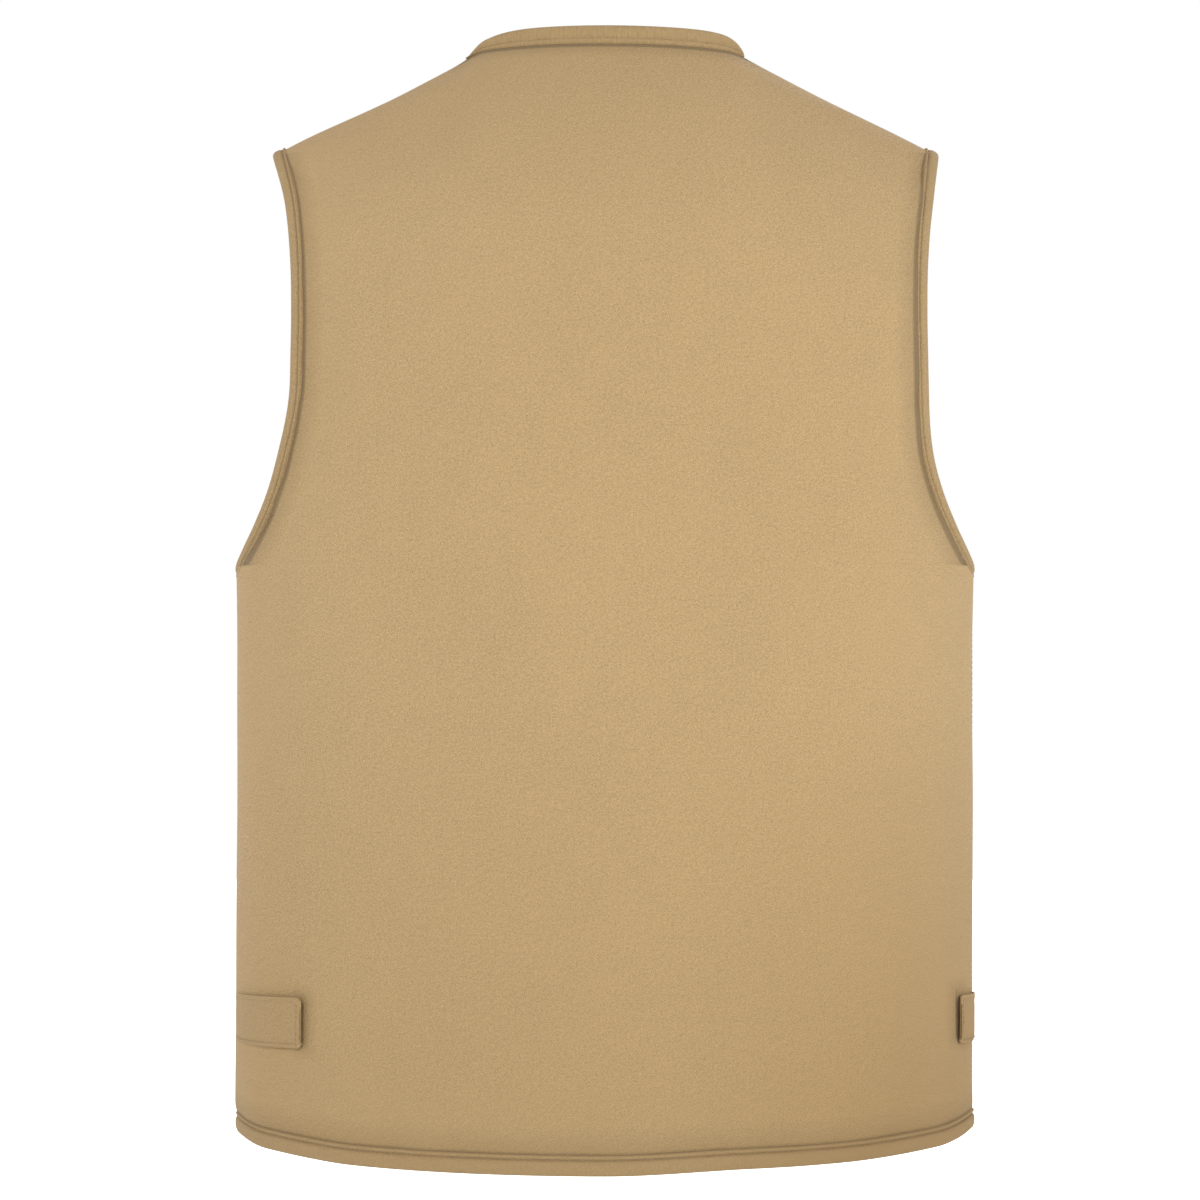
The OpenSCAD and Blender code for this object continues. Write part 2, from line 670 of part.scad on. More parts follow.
module chest_pocket(side) on_front(side)
    patch_pocket(chest_start, chest_level, chest_width, chest_height, 0);
module chest_flap(side) on_front(side) flap(chest_start, chest_sew, chest_width, 0);
module chest_loop_patch(side) on_front(side)
    fastening(chest_start, chest_sew, chest_width, flap_pocket_depth + sewn_gap);
module chest_hook_patch(side) on_front(side) fastening(chest_start, chest_sew,
    chest_width, flap_pocket_depth + tab_rise - sewn_gap - patch_thick);

// Flapped pockets on the lower pockets' fronts
second_margin = 12;
second_start = lower_start + second_margin;
second_width = lower_width - 2 * second_margin;
second_level = lower_level + 10;
second_sew = second_level + front_pocket_height + sew_rise;
second_rise = lower_depth;

module flap_pocket(side) on_front(side)
    patch_pocket(second_start, second_level, second_width, front_pocket_height, second_rise);
module pocket_flap(side) on_front(side)
    flap(second_start, second_sew, second_width, second_rise);
module pocket_loop_patch(side) on_front(side) fastening(second_start, second_sew,
    second_width, second_rise + flap_pocket_depth + sewn_gap);
module pocket_hook_patch(side) on_front(side) fastening(second_start, second_sew,
    second_width, second_rise + flap_pocket_depth + tab_rise - sewn_gap - patch_thick);

// ---- D-ring on the left front, for a landing net or pliers

ring_x = panel_edge + 17;
ring_z = v_foot_z - 32;
wire = ring_wire / 2;
ring_rise = sewn_gap + wire + 0.3 + 1.2;

module d_ring() {
    bend = ring_width / 2 + wire;
    color(metal) on_front("left") translate([ring_x, -ring_rise, ring_z]) {
        translate([-bend, 0, 0]) rotate([0, 90, 0]) cylinder(r = wire, h = 2 * bend, $fn = 20);
        for (x = [-bend, bend]) translate([x, 0, 0]) {
            sphere(r = wire, $fn = 20);
            translate([0, 0, -5]) cylinder(r = wire, h = 5, $fn = 20);
        }
        translate([0, 0, -5]) rotate([90, 0, 0]) rotate([0, 0, 180])
            rotate_extrude(angle = 180, $fn = 40) translate([bend, 0]) circle(r = wire, $fn = 20);
    }
}

// Webbing folded round the ring's bar, its two ends sewn flat to the panel above it
module d_ring_loop() {
    webbing = 1.2;
    bore = wire + 0.3;
    width = ring_width - 2;
    tail = 22;
    color(tape_cloth) on_front("left") translate([ring_x - width / 2, 0, ring_z]) {
        translate([0, -ring_rise, 0]) difference() {
            rotate([0, 90, 0]) cylinder(r = bore + webbing, h = width, $fn = 48);
            translate([-1, 0, 0]) rotate([0, 90, 0]) cylinder(r = bore, h = width + 2, $fn = 48);
        }
        translate([0, -sewn_gap - 2 * webbing, bore + webbing * 0.6])
            cube([width, 2 * webbing, tail]);
    }
}

back_panel();
back_lining();
neck_band();
hang_loop();
neck_label();
back_hem_binding();
back_armhole_binding("left");  // back_armhole_binding_left
back_armhole_binding("right");  // back_armhole_binding_right
tab_loop_patch("left");  // tab_loop_patch_left
tab_loop_patch("right");  // tab_loop_patch_right
side_tab("left");  // side_tab_left
side_tab("right");  // side_tab_right
tab_hook_patch("left");  // tab_hook_patch_left
tab_hook_patch("right");  // tab_hook_patch_right
front_panel("left");  // front_panel_left
front_panel("right");  // front_panel_right
front_lining("left");  // front_lining_left
front_lining("right");  // front_lining_right
front_armhole_binding("left");  // front_armhole_binding_left
front_armhole_binding("right");  // front_armhole_binding_right
v_neck_binding("left");  // v_neck_binding_left
v_neck_binding("right");  // v_neck_binding_right
front_hem_binding("left");  // front_hem_binding_left
front_hem_binding("right");  // front_hem_binding_right
zip_tape("left");  // zip_tape_left
zip_tape("right");  // zip_tape_right
zip_teeth("left");  // zip_teeth_left
zip_teeth("right");  // zip_teeth_right
main_slider();
main_pull();
chest_pocket("left");  // chest_pocket_left
chest_pocket("right");  // chest_pocket_right
chest_loop_patch("left");  // chest_loop_patch_left
chest_loop_patch("right");  // chest_loop_patch_right
chest_flap("left");  // chest_flap_left
chest_flap("right");  // chest_flap_right
chest_hook_patch("left");  // chest_hook_patch_left
chest_hook_patch("right");  // chest_hook_patch_right
lower_pocket("left");  // lower_pocket_left
lower_pocket("right");  // lower_pocket_right
pocket_zip_tape("left");  // pocket_zip_tape_left
pocket_zip_tape("right");  // pocket_zip_tape_right
pocket_zip_teeth("left");  // pocket_zip_teeth_left
pocket_zip_teeth("right");  // pocket_zip_teeth_right
pocket_slider("left");  // pocket_slider_left
pocket_slider("right");  // pocket_slider_right
pocket_pull("left");  // pocket_pull_left
pocket_pull("right");  // pocket_pull_right
flap_pocket("left");  // flap_pocket_left
flap_pocket("right");  // flap_pocket_right
pocket_loop_patch("left");  // pocket_loop_patch_left
pocket_loop_patch("right");  // pocket_loop_patch_right
pocket_flap("left");  // pocket_flap_left
pocket_flap("right");  // pocket_flap_right
pocket_hook_patch("left");  // pocket_hook_patch_left
pocket_hook_patch("right");  // pocket_hook_patch_right
d_ring();
d_ring_loop();
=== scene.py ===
"""Looks of the fishing vest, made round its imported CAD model."""

import json
import math

import bpy
from mathutils import Matrix, Vector, noise


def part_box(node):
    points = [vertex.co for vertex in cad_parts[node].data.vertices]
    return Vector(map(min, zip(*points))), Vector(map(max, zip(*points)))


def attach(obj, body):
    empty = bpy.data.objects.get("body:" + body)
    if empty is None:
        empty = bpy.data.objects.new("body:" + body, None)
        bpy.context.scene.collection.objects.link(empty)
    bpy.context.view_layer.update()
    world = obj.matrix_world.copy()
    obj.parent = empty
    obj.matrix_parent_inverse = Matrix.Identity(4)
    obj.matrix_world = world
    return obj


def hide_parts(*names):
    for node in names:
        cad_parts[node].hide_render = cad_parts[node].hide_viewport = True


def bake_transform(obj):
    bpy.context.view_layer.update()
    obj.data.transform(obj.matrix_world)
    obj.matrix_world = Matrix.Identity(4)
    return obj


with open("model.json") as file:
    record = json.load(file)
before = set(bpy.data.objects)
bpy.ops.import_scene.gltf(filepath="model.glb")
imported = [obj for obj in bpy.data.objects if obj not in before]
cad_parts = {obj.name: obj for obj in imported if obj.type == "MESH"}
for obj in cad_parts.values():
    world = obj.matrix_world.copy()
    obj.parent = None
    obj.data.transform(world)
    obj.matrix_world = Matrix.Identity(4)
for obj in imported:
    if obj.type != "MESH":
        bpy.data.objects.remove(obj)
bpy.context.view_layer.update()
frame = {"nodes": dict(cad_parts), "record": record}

# ---------------------------------------------------------------- sizes, in metres

MM = 0.001
SIDES = {"left": 1, "right": -1}

panel_low, panel_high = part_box("back_panel")
HEM = panel_low.z
HALF_WIDTH = panel_high.x
BACK_DEPTH = panel_high.y
NECK_HEIGHT = -HEM
NECKLINE = panel_high.z - HEM

# How the fronts are laid out: flat from the zip, then a quarter ellipse to the side
FRONT_DEPTH = 131 * MM
FRONT_YAW = math.radians(9)
SIDE_CURVE = 72 * MM
FLAT_END = HALF_WIDTH - SIDE_CURVE
FLAT_SHARE = 0.5
PANEL_EDGE = 10.4 * MM

# Neck, shoulders and armholes
NECK_HALF = 80 * MM
SHOULDER_FALL = math.tan(math.radians(27.5))
BACK_FLAT = NECK_HEIGHT - 250 * MM
V_FOOT = NECK_HEIGHT - 209 * MM
UNDERARM = NECK_HEIGHT - 304 * MM
NARROW_RISE = 120 * MM
ARMHOLE_INSET = 36.3 * MM
TIP_REACH = 15.7 * MM
NARROW_X = HALF_WIDTH - ARMHOLE_INSET
TIP_X = NARROW_X + TIP_REACH
TIP = NECK_HEIGHT - (TIP_X - NECK_HALF) * SHOULDER_FALL
FRONT_SCOOP = 12 * MM

# Cloth
SHELL = 1.2 * MM
WALL = 2.25 * MM
LINING_DEPTH = 1.6 * MM
BINDING_WIDTH = 7.5 * MM
HEM_WIDTH = 10 * MM

# Side tabs, as ways round the back from the middle to the side seam
TAB_LOW = 54 * MM
TAB_HEIGHT = 29 * MM
TAB_LIFT = 7 * MM
TAB_ROOT = 0.975
TAB_END = {"left": 0.577, "right": 0.774}
TAB_CORNER = 3 * MM
TAB_RISE = 1.5 * MM
TAB_THICK = 1.1 * MM
TAB_PATCH = 0.5 * MM
PATCH_THICK = 1 * MM
PATCH_WIDTH, PATCH_HEIGHT = 34 * MM, 16 * MM

# Stitches
STITCH_STEP = 3.2 * MM
STITCH_LENGTH = 2.5 * MM
STITCH_WIDTH = 0.55 * MM


# ---------------------------------------------------------------- the vest's surface

def ridge(x):
    """Height of the shoulder seam's line over x; a parabola carries it across the neck."""
    if abs(x) > NECK_HALF:
        return NECK_HEIGHT - SHOULDER_FALL * (abs(x) - NECK_HALF)
    return NECK_HEIGHT + SHOULDER_FALL * (NECK_HALF ** 2 - x * x) / (2 * NECK_HALF)


def roof(x, height, flat):
    """Share of the full depth at x and height: 1 up to flat, 0 at the shoulder's line."""
    rise = max(0.0, height - flat) / (ridge(x) - flat)
    return math.sqrt(max(0.0, 1 - rise * rise))


def back_point(way, height):
    """A point of the back, where way goes from -1 to 1, right side seam to left."""
    turn = math.radians(90 * way)
    x = HALF_WIDTH * math.sin(turn)
    return Vector((x, BACK_DEPTH * math.cos(turn) * roof(x, height, BACK_FLAT), HEM + height))


def front_point(way, height):
    """A point of the left front, where way goes from 0 in the middle to 1 at the side."""
    turn = math.radians(90 * max(0.0, way - FLAT_SHARE) / (1 - FLAT_SHARE))
    if way < FLAT_SHARE:
        x = FLAT_END * way / FLAT_SHARE
    else:
        x = FLAT_END + SIDE_CURVE * math.sin(turn)
    full = (FRONT_DEPTH - x * math.tan(FRONT_YAW)) * math.cos(turn)
    return Vector((x, -full * roof(x, height, V_FOOT), HEM + height))


POINT = {"back": back_point, "front": front_point}


def round_step(face, way, height):
    step = 0.002
    high = min(1.0, way + step)
    low = max(-1.0, way - step)
    return (POINT[face](high, height) - POINT[face](low, height)) / (high - low)


def up_step(face, way, height):
    step = 0.5 * MM
    return (POINT[face](way, height) - POINT[face](way, height - step)) / step


def outward(face, way, height):
    across, up = round_step(face, way, height), up_step(face, way, height)
    return (up.cross(across) if face == "back" else across.cross(up)).normalized()


def raised(face, way, height, rise):
    return POINT[face](way, height) + rise * outward(face, way, height)


def back_way(x):
    return math.degrees(math.asin(max(-1.0, min(1.0, x / HALF_WIDTH)))) / 90


def front_way(x):
    if x < FLAT_END:
        return FLAT_SHARE * x / FLAT_END
    turn = math.degrees(math.asin(min(1.0, (x - FLAT_END) / SIDE_CURVE)))
    return FLAT_SHARE + (1 - FLAT_SHARE) * turn / 90


def back_edge_x(height):
    if height <= UNDERARM:
        return HALF_WIDTH
    if height <= UNDERARM + NARROW_RISE:
        share = (UNDERARM + NARROW_RISE - height) / NARROW_RISE
        return NARROW_X + ARMHOLE_INSET * share ** 2.6
    if height <= TIP:
        share = (height - UNDERARM - NARROW_RISE) / (TIP - UNDERARM - NARROW_RISE)
        return NARROW_X + TIP_REACH * share ** 2.8
    return NECK_HALF + (NECK_HEIGHT - height) / SHOULDER_FALL


def scoop(height):
    if not UNDERARM < height < TIP:
        return 0.0
    return FRONT_SCOOP * math.sin(math.pi * (height - UNDERARM) / (TIP - UNDERARM))


def back_end(height):
    return back_way(back_edge_x(height))


def front_end(height):
    return front_way(back_edge_x(height) - scoop(height))


def front_start(height):
    share = max(0.0, (height - V_FOOT) / (NECK_HEIGHT - V_FOOT))
    return front_way(PANEL_EDGE + (NECK_HALF - PANEL_EDGE) * share ** 1.15)


def round_length(face, way):
    """Length of cloth from the middle round to way, level with the chest."""
    steps = 24
    points = [POINT[face](way * i / steps, 0.2) for i in range(steps + 1)]
    return math.copysign(sum((b - a).length for a, b in zip(points, points[1:])), way)


def ease(value, low, high):
    """0 below low, 1 above high, and smooth between them."""
    share = max(0.0, min(1.0, (value - low) / (high - low)))
    return share * share * (3 - 2 * share)


def ripple(face, way, height):
    """How far the cloth stands off the plain surface: soft folds, and puckers by seams."""
    at = POINT[face](way, height)
    folds = 2.4 * MM * noise.noise(Vector((at.x * 11, at.y * 9, at.z * 3.2)))
    drape = 0.9 * MM * noise.noise(Vector((at.x * 30 + 7, at.y * 26, at.z * 11)))
    end = back_end(height) if face == "back" else front_end(height)
    to_armhole = (end - abs(way)) * 0.3 if height > UNDERARM else 1.0
    beside = 1 - ease(to_armhole, 0.008, 0.075)
    pull = 1.5 * MM * beside * noise.noise(Vector((at.x * 13 + 3, at.y * 8, at.z * 52)))
    near = 1 - ease(to_armhole, 0.006, 0.05)
    pull += 0.75 * MM * near * noise.noise(Vector((at.x * 24, at.y * 9, at.z * 105 + at.x * 30)))
    by_hem = 1 - ease(height, 0.012, 0.06)
    gather = 0.9 * MM * by_hem * noise.noise(Vector((at.x * 55, at.y * 50, at.z * 12 + 5)))
    by_neck = 1 - ease(NECKLINE - height, 0.004, 0.03)
    tuck = 0.6 * MM * by_neck * noise.noise(Vector((at.x * 60, at.y * 40, at.z * 12 + 9)))
    still = ease(to_armhole, 0.002, 0.016) * ease(height, 0.004, 0.016)
    still *= ease(NECKLINE - height, 0.0, 0.008)
    still *= ease(1 - abs(way), 0.0, 0.03)
    total = still * (folds + drape + pull + gather + tuck)
    if face == "front":
        on_flat = 1 - ease(way, FLAT_SHARE, FLAT_SHARE + 0.12)
        total = total * (1 - on_flat) - 0.35 * abs(total) * on_flat
        total *= ease(way - front_start(height), 0.0, 0.04)
    return total


# ---------------------------------------------------------------- workshop helpers

def deselect():
    bpy.ops.object.select_all(action="DESELECT")


def edit(piece):
    deselect()
    piece.select_set(True)
    bpy.context.view_layer.objects.active = piece
    bpy.ops.object.mode_set(mode="EDIT")
    bpy.ops.mesh.select_all(action="SELECT")


def leave_edit():
    bpy.ops.object.mode_set(mode="OBJECT")
    deselect()


def named(name):
    piece = bpy.context.object
    piece.name = name
    piece.data.name = name
    return piece


def apply_modifiers(piece):
    deselect()
    piece.select_set(True)
    bpy.context.view_layer.objects.active = piece
    for modifier in list(piece.modifiers):
        bpy.ops.object.modifier_apply(modifier=modifier.name)
    deselect()


def thicken(piece, thickness):
    """Gives a sheet its thickness, inwards from the outer face it is drawn on."""
    solid = piece.modifiers.new("thickness", "SOLIDIFY")
    solid.thickness = thickness
    solid.offset = -1
    solid.use_rim = True
    apply_modifiers(piece)


def smooth(piece, degrees=50):
    deselect()
    piece.select_set(True)
    bpy.context.view_layer.objects.active = piece
    bpy.ops.object.shade_smooth_by_angle(angle=math.radians(degrees))
    deselect()


def soften(piece, width, segments=2, degrees=40):
    bevel = piece.modifiers.new("soft edges", "BEVEL")
    bevel.width = width
    bevel.segments = segments
    bevel.limit_method = "ANGLE"
    bevel.angle_limit = math.radians(degrees)
    apply_modifiers(piece)


def mirrored(point, side):
    return Vector((point.x * SIDES[side], point.y, point.z))


def laid_grid(name, columns, rows, place, side="left", flip=False):
    """A grid laid onto the vest: place(u, v) gives each point, and its place in the cloth."""
    deselect()
    bpy.ops.mesh.primitive_grid_add(x_subdivisions=columns, y_subdivisions=rows, size=2)
    piece = named(name)
    mesh = piece.data
    cloth = []
    for vertex in mesh.vertices:
        point, spot = place((vertex.co.x + 1) / 2, (vertex.co.y + 1) / 2)
        vertex.co = mirrored(point, side)
        cloth.append(spot)
    uv = mesh.uv_layers.active.data
    for loop in mesh.loops:
        uv[loop.index].uv = cloth[loop.vertex_index]
    if flip != (side == "right"):
        edit(piece)
        bpy.ops.mesh.flip_normals()
        leave_edit()
    return piece


def lofted(name, rings, side="left"):
    """A closed tube through rings of points that all have the same number of points."""
    around, along = len(rings[0]), len(rings)
    girth = [0.0]
    for a, b in zip(rings[0], rings[0][1:] + rings[0][:1]):
        girth.append(girth[-1] + (b - a).length)
    run = [0.0]
    for before, after in zip(rings, rings[1:]):
        run.append(run[-1] + (after[0] - before[0]).length)

    def place(u, v):
        i, k = round(u * around), round(v * (along - 1))
        return rings[k][i % around], (girth[i], run[k])

    piece = laid_grid(name, around, along - 1, place, side)
    edit(piece)
    bpy.ops.mesh.remove_doubles(threshold=0.00001)
    bpy.ops.mesh.select_all(action="DESELECT")
    bpy.ops.mesh.select_non_manifold(extend=False, use_wire=False, use_boundary=True,
                                     use_multi_face=False, use_non_contiguous=False,
                                     use_verts=False)
    bpy.ops.mesh.fill_holes(sides=around + 2)
    bpy.ops.mesh.select_all(action="SELECT")
    bpy.ops.mesh.normals_make_consistent(inside=False)
    leave_edit()
    return piece


def settle(piece, matrix=None):
    """Moves a piece's own placement into its mesh, then a further placement if one is given."""
    piece.data.transform(piece.matrix_world)
    piece.matrix_world = Matrix()
    if matrix is None:
        return piece
    piece.data.transform(matrix)
    if matrix.determinant() < 0:
        edit(piece)
        bpy.ops.mesh.flip_normals()
        leave_edit()
    return piece


def joined(name, pieces):
    deselect()
    for piece in pieces:
        piece.select_set(True)
    bpy.context.view_layer.objects.active = pieces[0]
    if len(pieces) > 1:
        bpy.ops.object.join()
    deselect()
    pieces[0].name = name
    pieces[0].data.name = name
    return pieces[0]


def copies(name, pattern, placements):
    """Copies of one pattern, each with its own mesh, joined into one piece."""
    made = []
    for matrix in placements:
        mesh = pattern.data.copy()
        mesh.transform(matrix)
        piece = bpy.data.objects.new(name, mesh)
        bpy.context.scene.collection.objects.link(piece)
        made.append(piece)
    bpy.data.objects.remove(pattern)
    return joined(name, made)


def block(name, low, high, edge=0.0, segments=2):
    """A block between two corners, with its edges rounded."""
    deselect()
    middle = [(a + b) / 2 for a, b in zip(low, high)]
    bpy.ops.mesh.primitive_cube_add(size=1, location=middle)
    piece = named(name)
    piece.scale = [b - a for a, b in zip(low, high)]
    bpy.context.view_layer.update()
    settle(piece)
    if edge:
        soften(piece, edge, segments)
    return piece


def rod(name, at, radius, length, sides=24, axis="X"):
    deselect()
    turn = {"X": (0, math.radians(90), 0), "Y": (math.radians(90), 0, 0), "Z": (0, 0, 0)}[axis]
    bpy.ops.mesh.primitive_cylinder_add(vertices=sides, radius=radius, depth=length,
                                        location=at, rotation=turn)
    piece = named(name)
    bpy.context.view_layer.update()
    settle(piece)
    soften(piece, radius * 0.2, 2)
    return piece


def stitch_pattern():
    """One stitch of thread, lying along x with its top towards z."""
    deselect()
    bpy.ops.mesh.primitive_uv_sphere_add(segments=8, ring_count=5, radius=0.5,
                                         rotation=(0, math.radians(90), 0))
    piece = named("stitch")
    piece.scale = (STITCH_WIDTH * 0.8, STITCH_WIDTH, STITCH_LENGTH)
    bpy.context.view_layer.update()
    settle(piece)
    for face in piece.data.polygons:
        face.use_smooth = True
    return piece


def stitches(name, line, outs, side="left", step=STITCH_STEP):
    """A row of thread stitches along a line of points, each with its outward direction."""
    run = [0.0]
    for a, b in zip(line, line[1:]):
        run.append(run[-1] + (b - a).length)
    count = max(1, int(run[-1] / step))
    placements, segment = [], 0
    for n in range(count):
        middle = (n + 0.5) * run[-1] / count
        while segment < len(run) - 2 and run[segment + 1] < middle:
            segment += 1
        share = (middle - run[segment]) / max(1e-9, run[segment + 1] - run[segment])
        at = mirrored(line[segment].lerp(line[segment + 1], share), side)
        ahead = mirrored(line[segment + 1] - line[segment], side).normalized()
        up = mirrored(outs[segment].lerp(outs[segment + 1], share), side).normalized()
        beside = up.cross(ahead).normalized()
        up = ahead.cross(beside).normalized()
        turn = Matrix((ahead, beside, up)).transposed().to_4x4()
        placements.append(Matrix.Translation(at + up * (0.12 * STITCH_WIDTH)) @ turn)
    return copies(name, stitch_pattern(), placements)


def cloth_map(piece):
    """Lays out flat cloth in metres: across it and up it."""
    mesh = piece.data
    uv = mesh.uv_layers.active or mesh.uv_layers.new(name="UVMap")
    for loop in mesh.loops:
        co = mesh.vertices[loop.vertex_index].co
        uv.data[loop.index].uv = (co.x + co.y, co.z)
    return piece


# ---------------------------------------------------------------- materials

def group_tree(name, inputs, outputs):
    tree = bpy.data.node_groups.new(name, "ShaderNodeTree")
    for label, kind, value in inputs:
        socket = tree.interface.new_socket(name=label, in_out="INPUT", socket_type=kind)
        if value is not None:
            socket.default_value = value
    for label, kind in outputs:
        tree.interface.new_socket(name=label, in_out="OUTPUT", socket_type=kind)
    return tree, tree.nodes.new("NodeGroupInput"), tree.nodes.new("NodeGroupOutput")


def math_node(tree, operation, a, b=None):
    node = tree.nodes.new("ShaderNodeMath")
    node.operation = operation
    for socket, value in zip(node.inputs, (a, b)):
        if isinstance(value, (int, float)):
            socket.default_value = value
        elif value is not None:
            tree.links.new(value, socket)
    return node.outputs[0]


def noise_node(tree, vector, scale, detail=3.0, roughness=0.5):
    node = tree.nodes.new("ShaderNodeTexNoise")
    if isinstance(scale, (int, float)):
        node.inputs["Scale"].default_value = scale
    else:
        tree.links.new(scale, node.inputs["Scale"])
    node.inputs["Detail"].default_value = detail
    node.inputs["Roughness"].default_value = roughness
    tree.links.new(vector, node.inputs["Vector"])
    return node.outputs["Fac"]


def remap(tree, value, low, high, to_low=0.0, to_high=1.0):
    node = tree.nodes.new("ShaderNodeMapRange")
    node.inputs["From Min"].default_value = low
    node.inputs["From Max"].default_value = high
    node.inputs["To Min"].default_value = to_low
    node.inputs["To Max"].default_value = to_high
    tree.links.new(value, node.inputs["Value"])
    return node.outputs["Result"]


def weave_group():
    """Twill: raised diagonal wales across fine threads, uneven with slubs."""
    tree, given, out = group_tree(
        "twill weave",
        [("Cloth", "NodeSocketVector", None), ("Wales per metre", "NodeSocketFloat", 1100.0)],
        [("Height", "NodeSocketFloat"), ("Slub", "NodeSocketFloat")])
    cloth, wales = given.outputs["Cloth"], given.outputs["Wales per metre"]
    parts = tree.nodes.new("ShaderNodeSeparateXYZ")
    tree.links.new(cloth, parts.inputs[0])
    uneven = noise_node(tree, cloth, 260.0, 2.0)
    slant = math_node(tree, "ADD", math_node(tree, "MULTIPLY", parts.outputs["X"], wales),
                      math_node(tree, "MULTIPLY", parts.outputs["Y"], wales))
    slant = math_node(tree, "ADD", slant, math_node(tree, "MULTIPLY", uneven, 1.6))
    wale = math_node(tree, "SINE", math_node(tree, "MULTIPLY", slant, 2 * math.pi))
    pick = math_node(tree, "SINE", math_node(tree, "MULTIPLY", math_node(
        tree, "MULTIPLY", parts.outputs["Y"], wales), 4 * math.pi))
    height = math_node(tree, "ADD", math_node(tree, "MULTIPLY", wale, 0.35),
                       math_node(tree, "MULTIPLY", pick, 0.15))
    tree.links.new(math_node(tree, "ADD", height, 0.5), out.inputs["Height"])
    stretched = tree.nodes.new("ShaderNodeMapping")
    stretched.inputs["Scale"].default_value = (0.85, 1.0, 1.0)
    tree.links.new(cloth, stretched.inputs["Vector"])
    slub = noise_node(tree, stretched.outputs["Vector"], 780.0, 3.0, 0.6)
    tree.links.new(remap(tree, slub, 0.3, 0.7), out.inputs["Slub"])
    return tree


def fade_and_shade_group():
    """Uneven dye and washing, from broad patches to small ones, and painted shade graded by height and
    side.
    """
    tree, given, out = group_tree(
        "washed colour and painted shade", [("Place", "NodeSocketVector", None)],
        [("Patches", "NodeSocketFloat"), ("Painted shade", "NodeSocketFloat")])
    broad = noise_node(tree, given.outputs["Place"], 9.0, 3.0)
    small = noise_node(tree, given.outputs["Place"], 70.0, 3.0)
    both = math_node(tree, "ADD", math_node(tree, "MULTIPLY", broad, 0.6),
                     math_node(tree, "MULTIPLY", small, 0.4))
    tree.links.new(remap(tree, both, 0.35, 0.65), out.inputs["Patches"])
    parts = tree.nodes.new("ShaderNodeSeparateXYZ")
    tree.links.new(given.outputs["Place"], parts.inputs[0])
    # Painted shade: darker towards the hem, most at the lower right (-x), and darker towards the neck
    low = remap(tree, parts.outputs["Z"], HEM + 0.0, HEM + 0.27, 1.0, 0.0)
    high = remap(tree, parts.outputs["Z"], HEM + 0.52, HEM + 0.64, 0.0, 0.85)
    right = remap(tree, parts.outputs["X"], -0.17, -0.04, 2.3, 1.0)
    both = math_node(tree, "MAXIMUM", math_node(tree, "MULTIPLY", low, right), high)
    tree.links.new(both, out.inputs["Painted shade"])
    return tree


def seam_shadow_group():
    """Painted shadow: the dark line beside a binding, where the cloth is drawn down to its seam, painted
    into the colour instead of cast.
    """
    tree, given, out = group_tree(
        "painted seam shadow", [("Share", "NodeSocketFloat", 6.0)], [("Painted shadow", "NodeSocketFloat")])
    near = remap(tree, given.outputs["Share"], 1.0, 1.28, 1.0, 0.0)
    soft = remap(tree, given.outputs["Share"], 1.0, 2.6, 0.35, 0.0)
    tree.links.new(math_node(tree, "MAXIMUM", near, soft), out.inputs["Painted shadow"])
    return tree


def grain_group():
    """Fine scuffs and grain for metal and moulded plastic."""
    tree, given, out = group_tree(
        "scuffed grain", [("Place", "NodeSocketVector", None), ("Scale", "NodeSocketFloat", 900.0)],
        [("Grain", "NodeSocketFloat"), ("Scuffs", "NodeSocketFloat")])
    grain = noise_node(tree, given.outputs["Place"], given.outputs["Scale"], 3.0)
    scuffs = noise_node(tree, given.outputs["Place"], 240.0, 5.0, 0.7)
    tree.links.new(grain, out.inputs["Grain"])
    tree.links.new(remap(tree, scuffs, 0.52, 0.7), out.inputs["Scuffs"])
    return tree


WEAVE = weave_group()
FADE_AND_SHADE = fade_and_shade_group()
GRAIN = grain_group()
SEAM_SHADOW = seam_shadow_group()


def new_material(name):
    material = bpy.data.materials.new(name)
    material.use_nodes = True
    tree = material.node_tree
    return material, tree, tree.nodes["Principled BSDF"]


def use_group(tree, group, **values):
    node = tree.nodes.new("ShaderNodeGroup")
    node.node_tree = group
    for label, value in values.items():
        socket = node.inputs[label.replace("_", " ")]
        if isinstance(value, (int, float)):
            socket.default_value = value
        else:
            tree.links.new(value, socket)
    return node


def mixed(tree, factor, a, b):
    node = tree.nodes.new("ShaderNodeMix")
    node.data_type = "RGBA"
    for socket, value in ((node.inputs[6], a), (node.inputs[7], b)):
        if isinstance(value, (tuple, list)):
            socket.default_value = (*value, 1)
        else:
            tree.links.new(value, socket)
    if isinstance(factor, (int, float)):
        node.inputs[0].default_value = factor
    else:
        tree.links.new(factor, node.inputs[0])
    return node.outputs[2]


def bumped(tree, shader, height, distance, strength=1.0):
    bump = tree.nodes.new("ShaderNodeBump")
    bump.inputs["Distance"].default_value = distance
    bump.inputs["Strength"].default_value = strength
    tree.links.new(height, bump.inputs["Height"])
    tree.links.new(bump.outputs["Normal"], shader.inputs["Normal"])


def shade(colour, factor):
    return tuple(c * factor for c in colour)


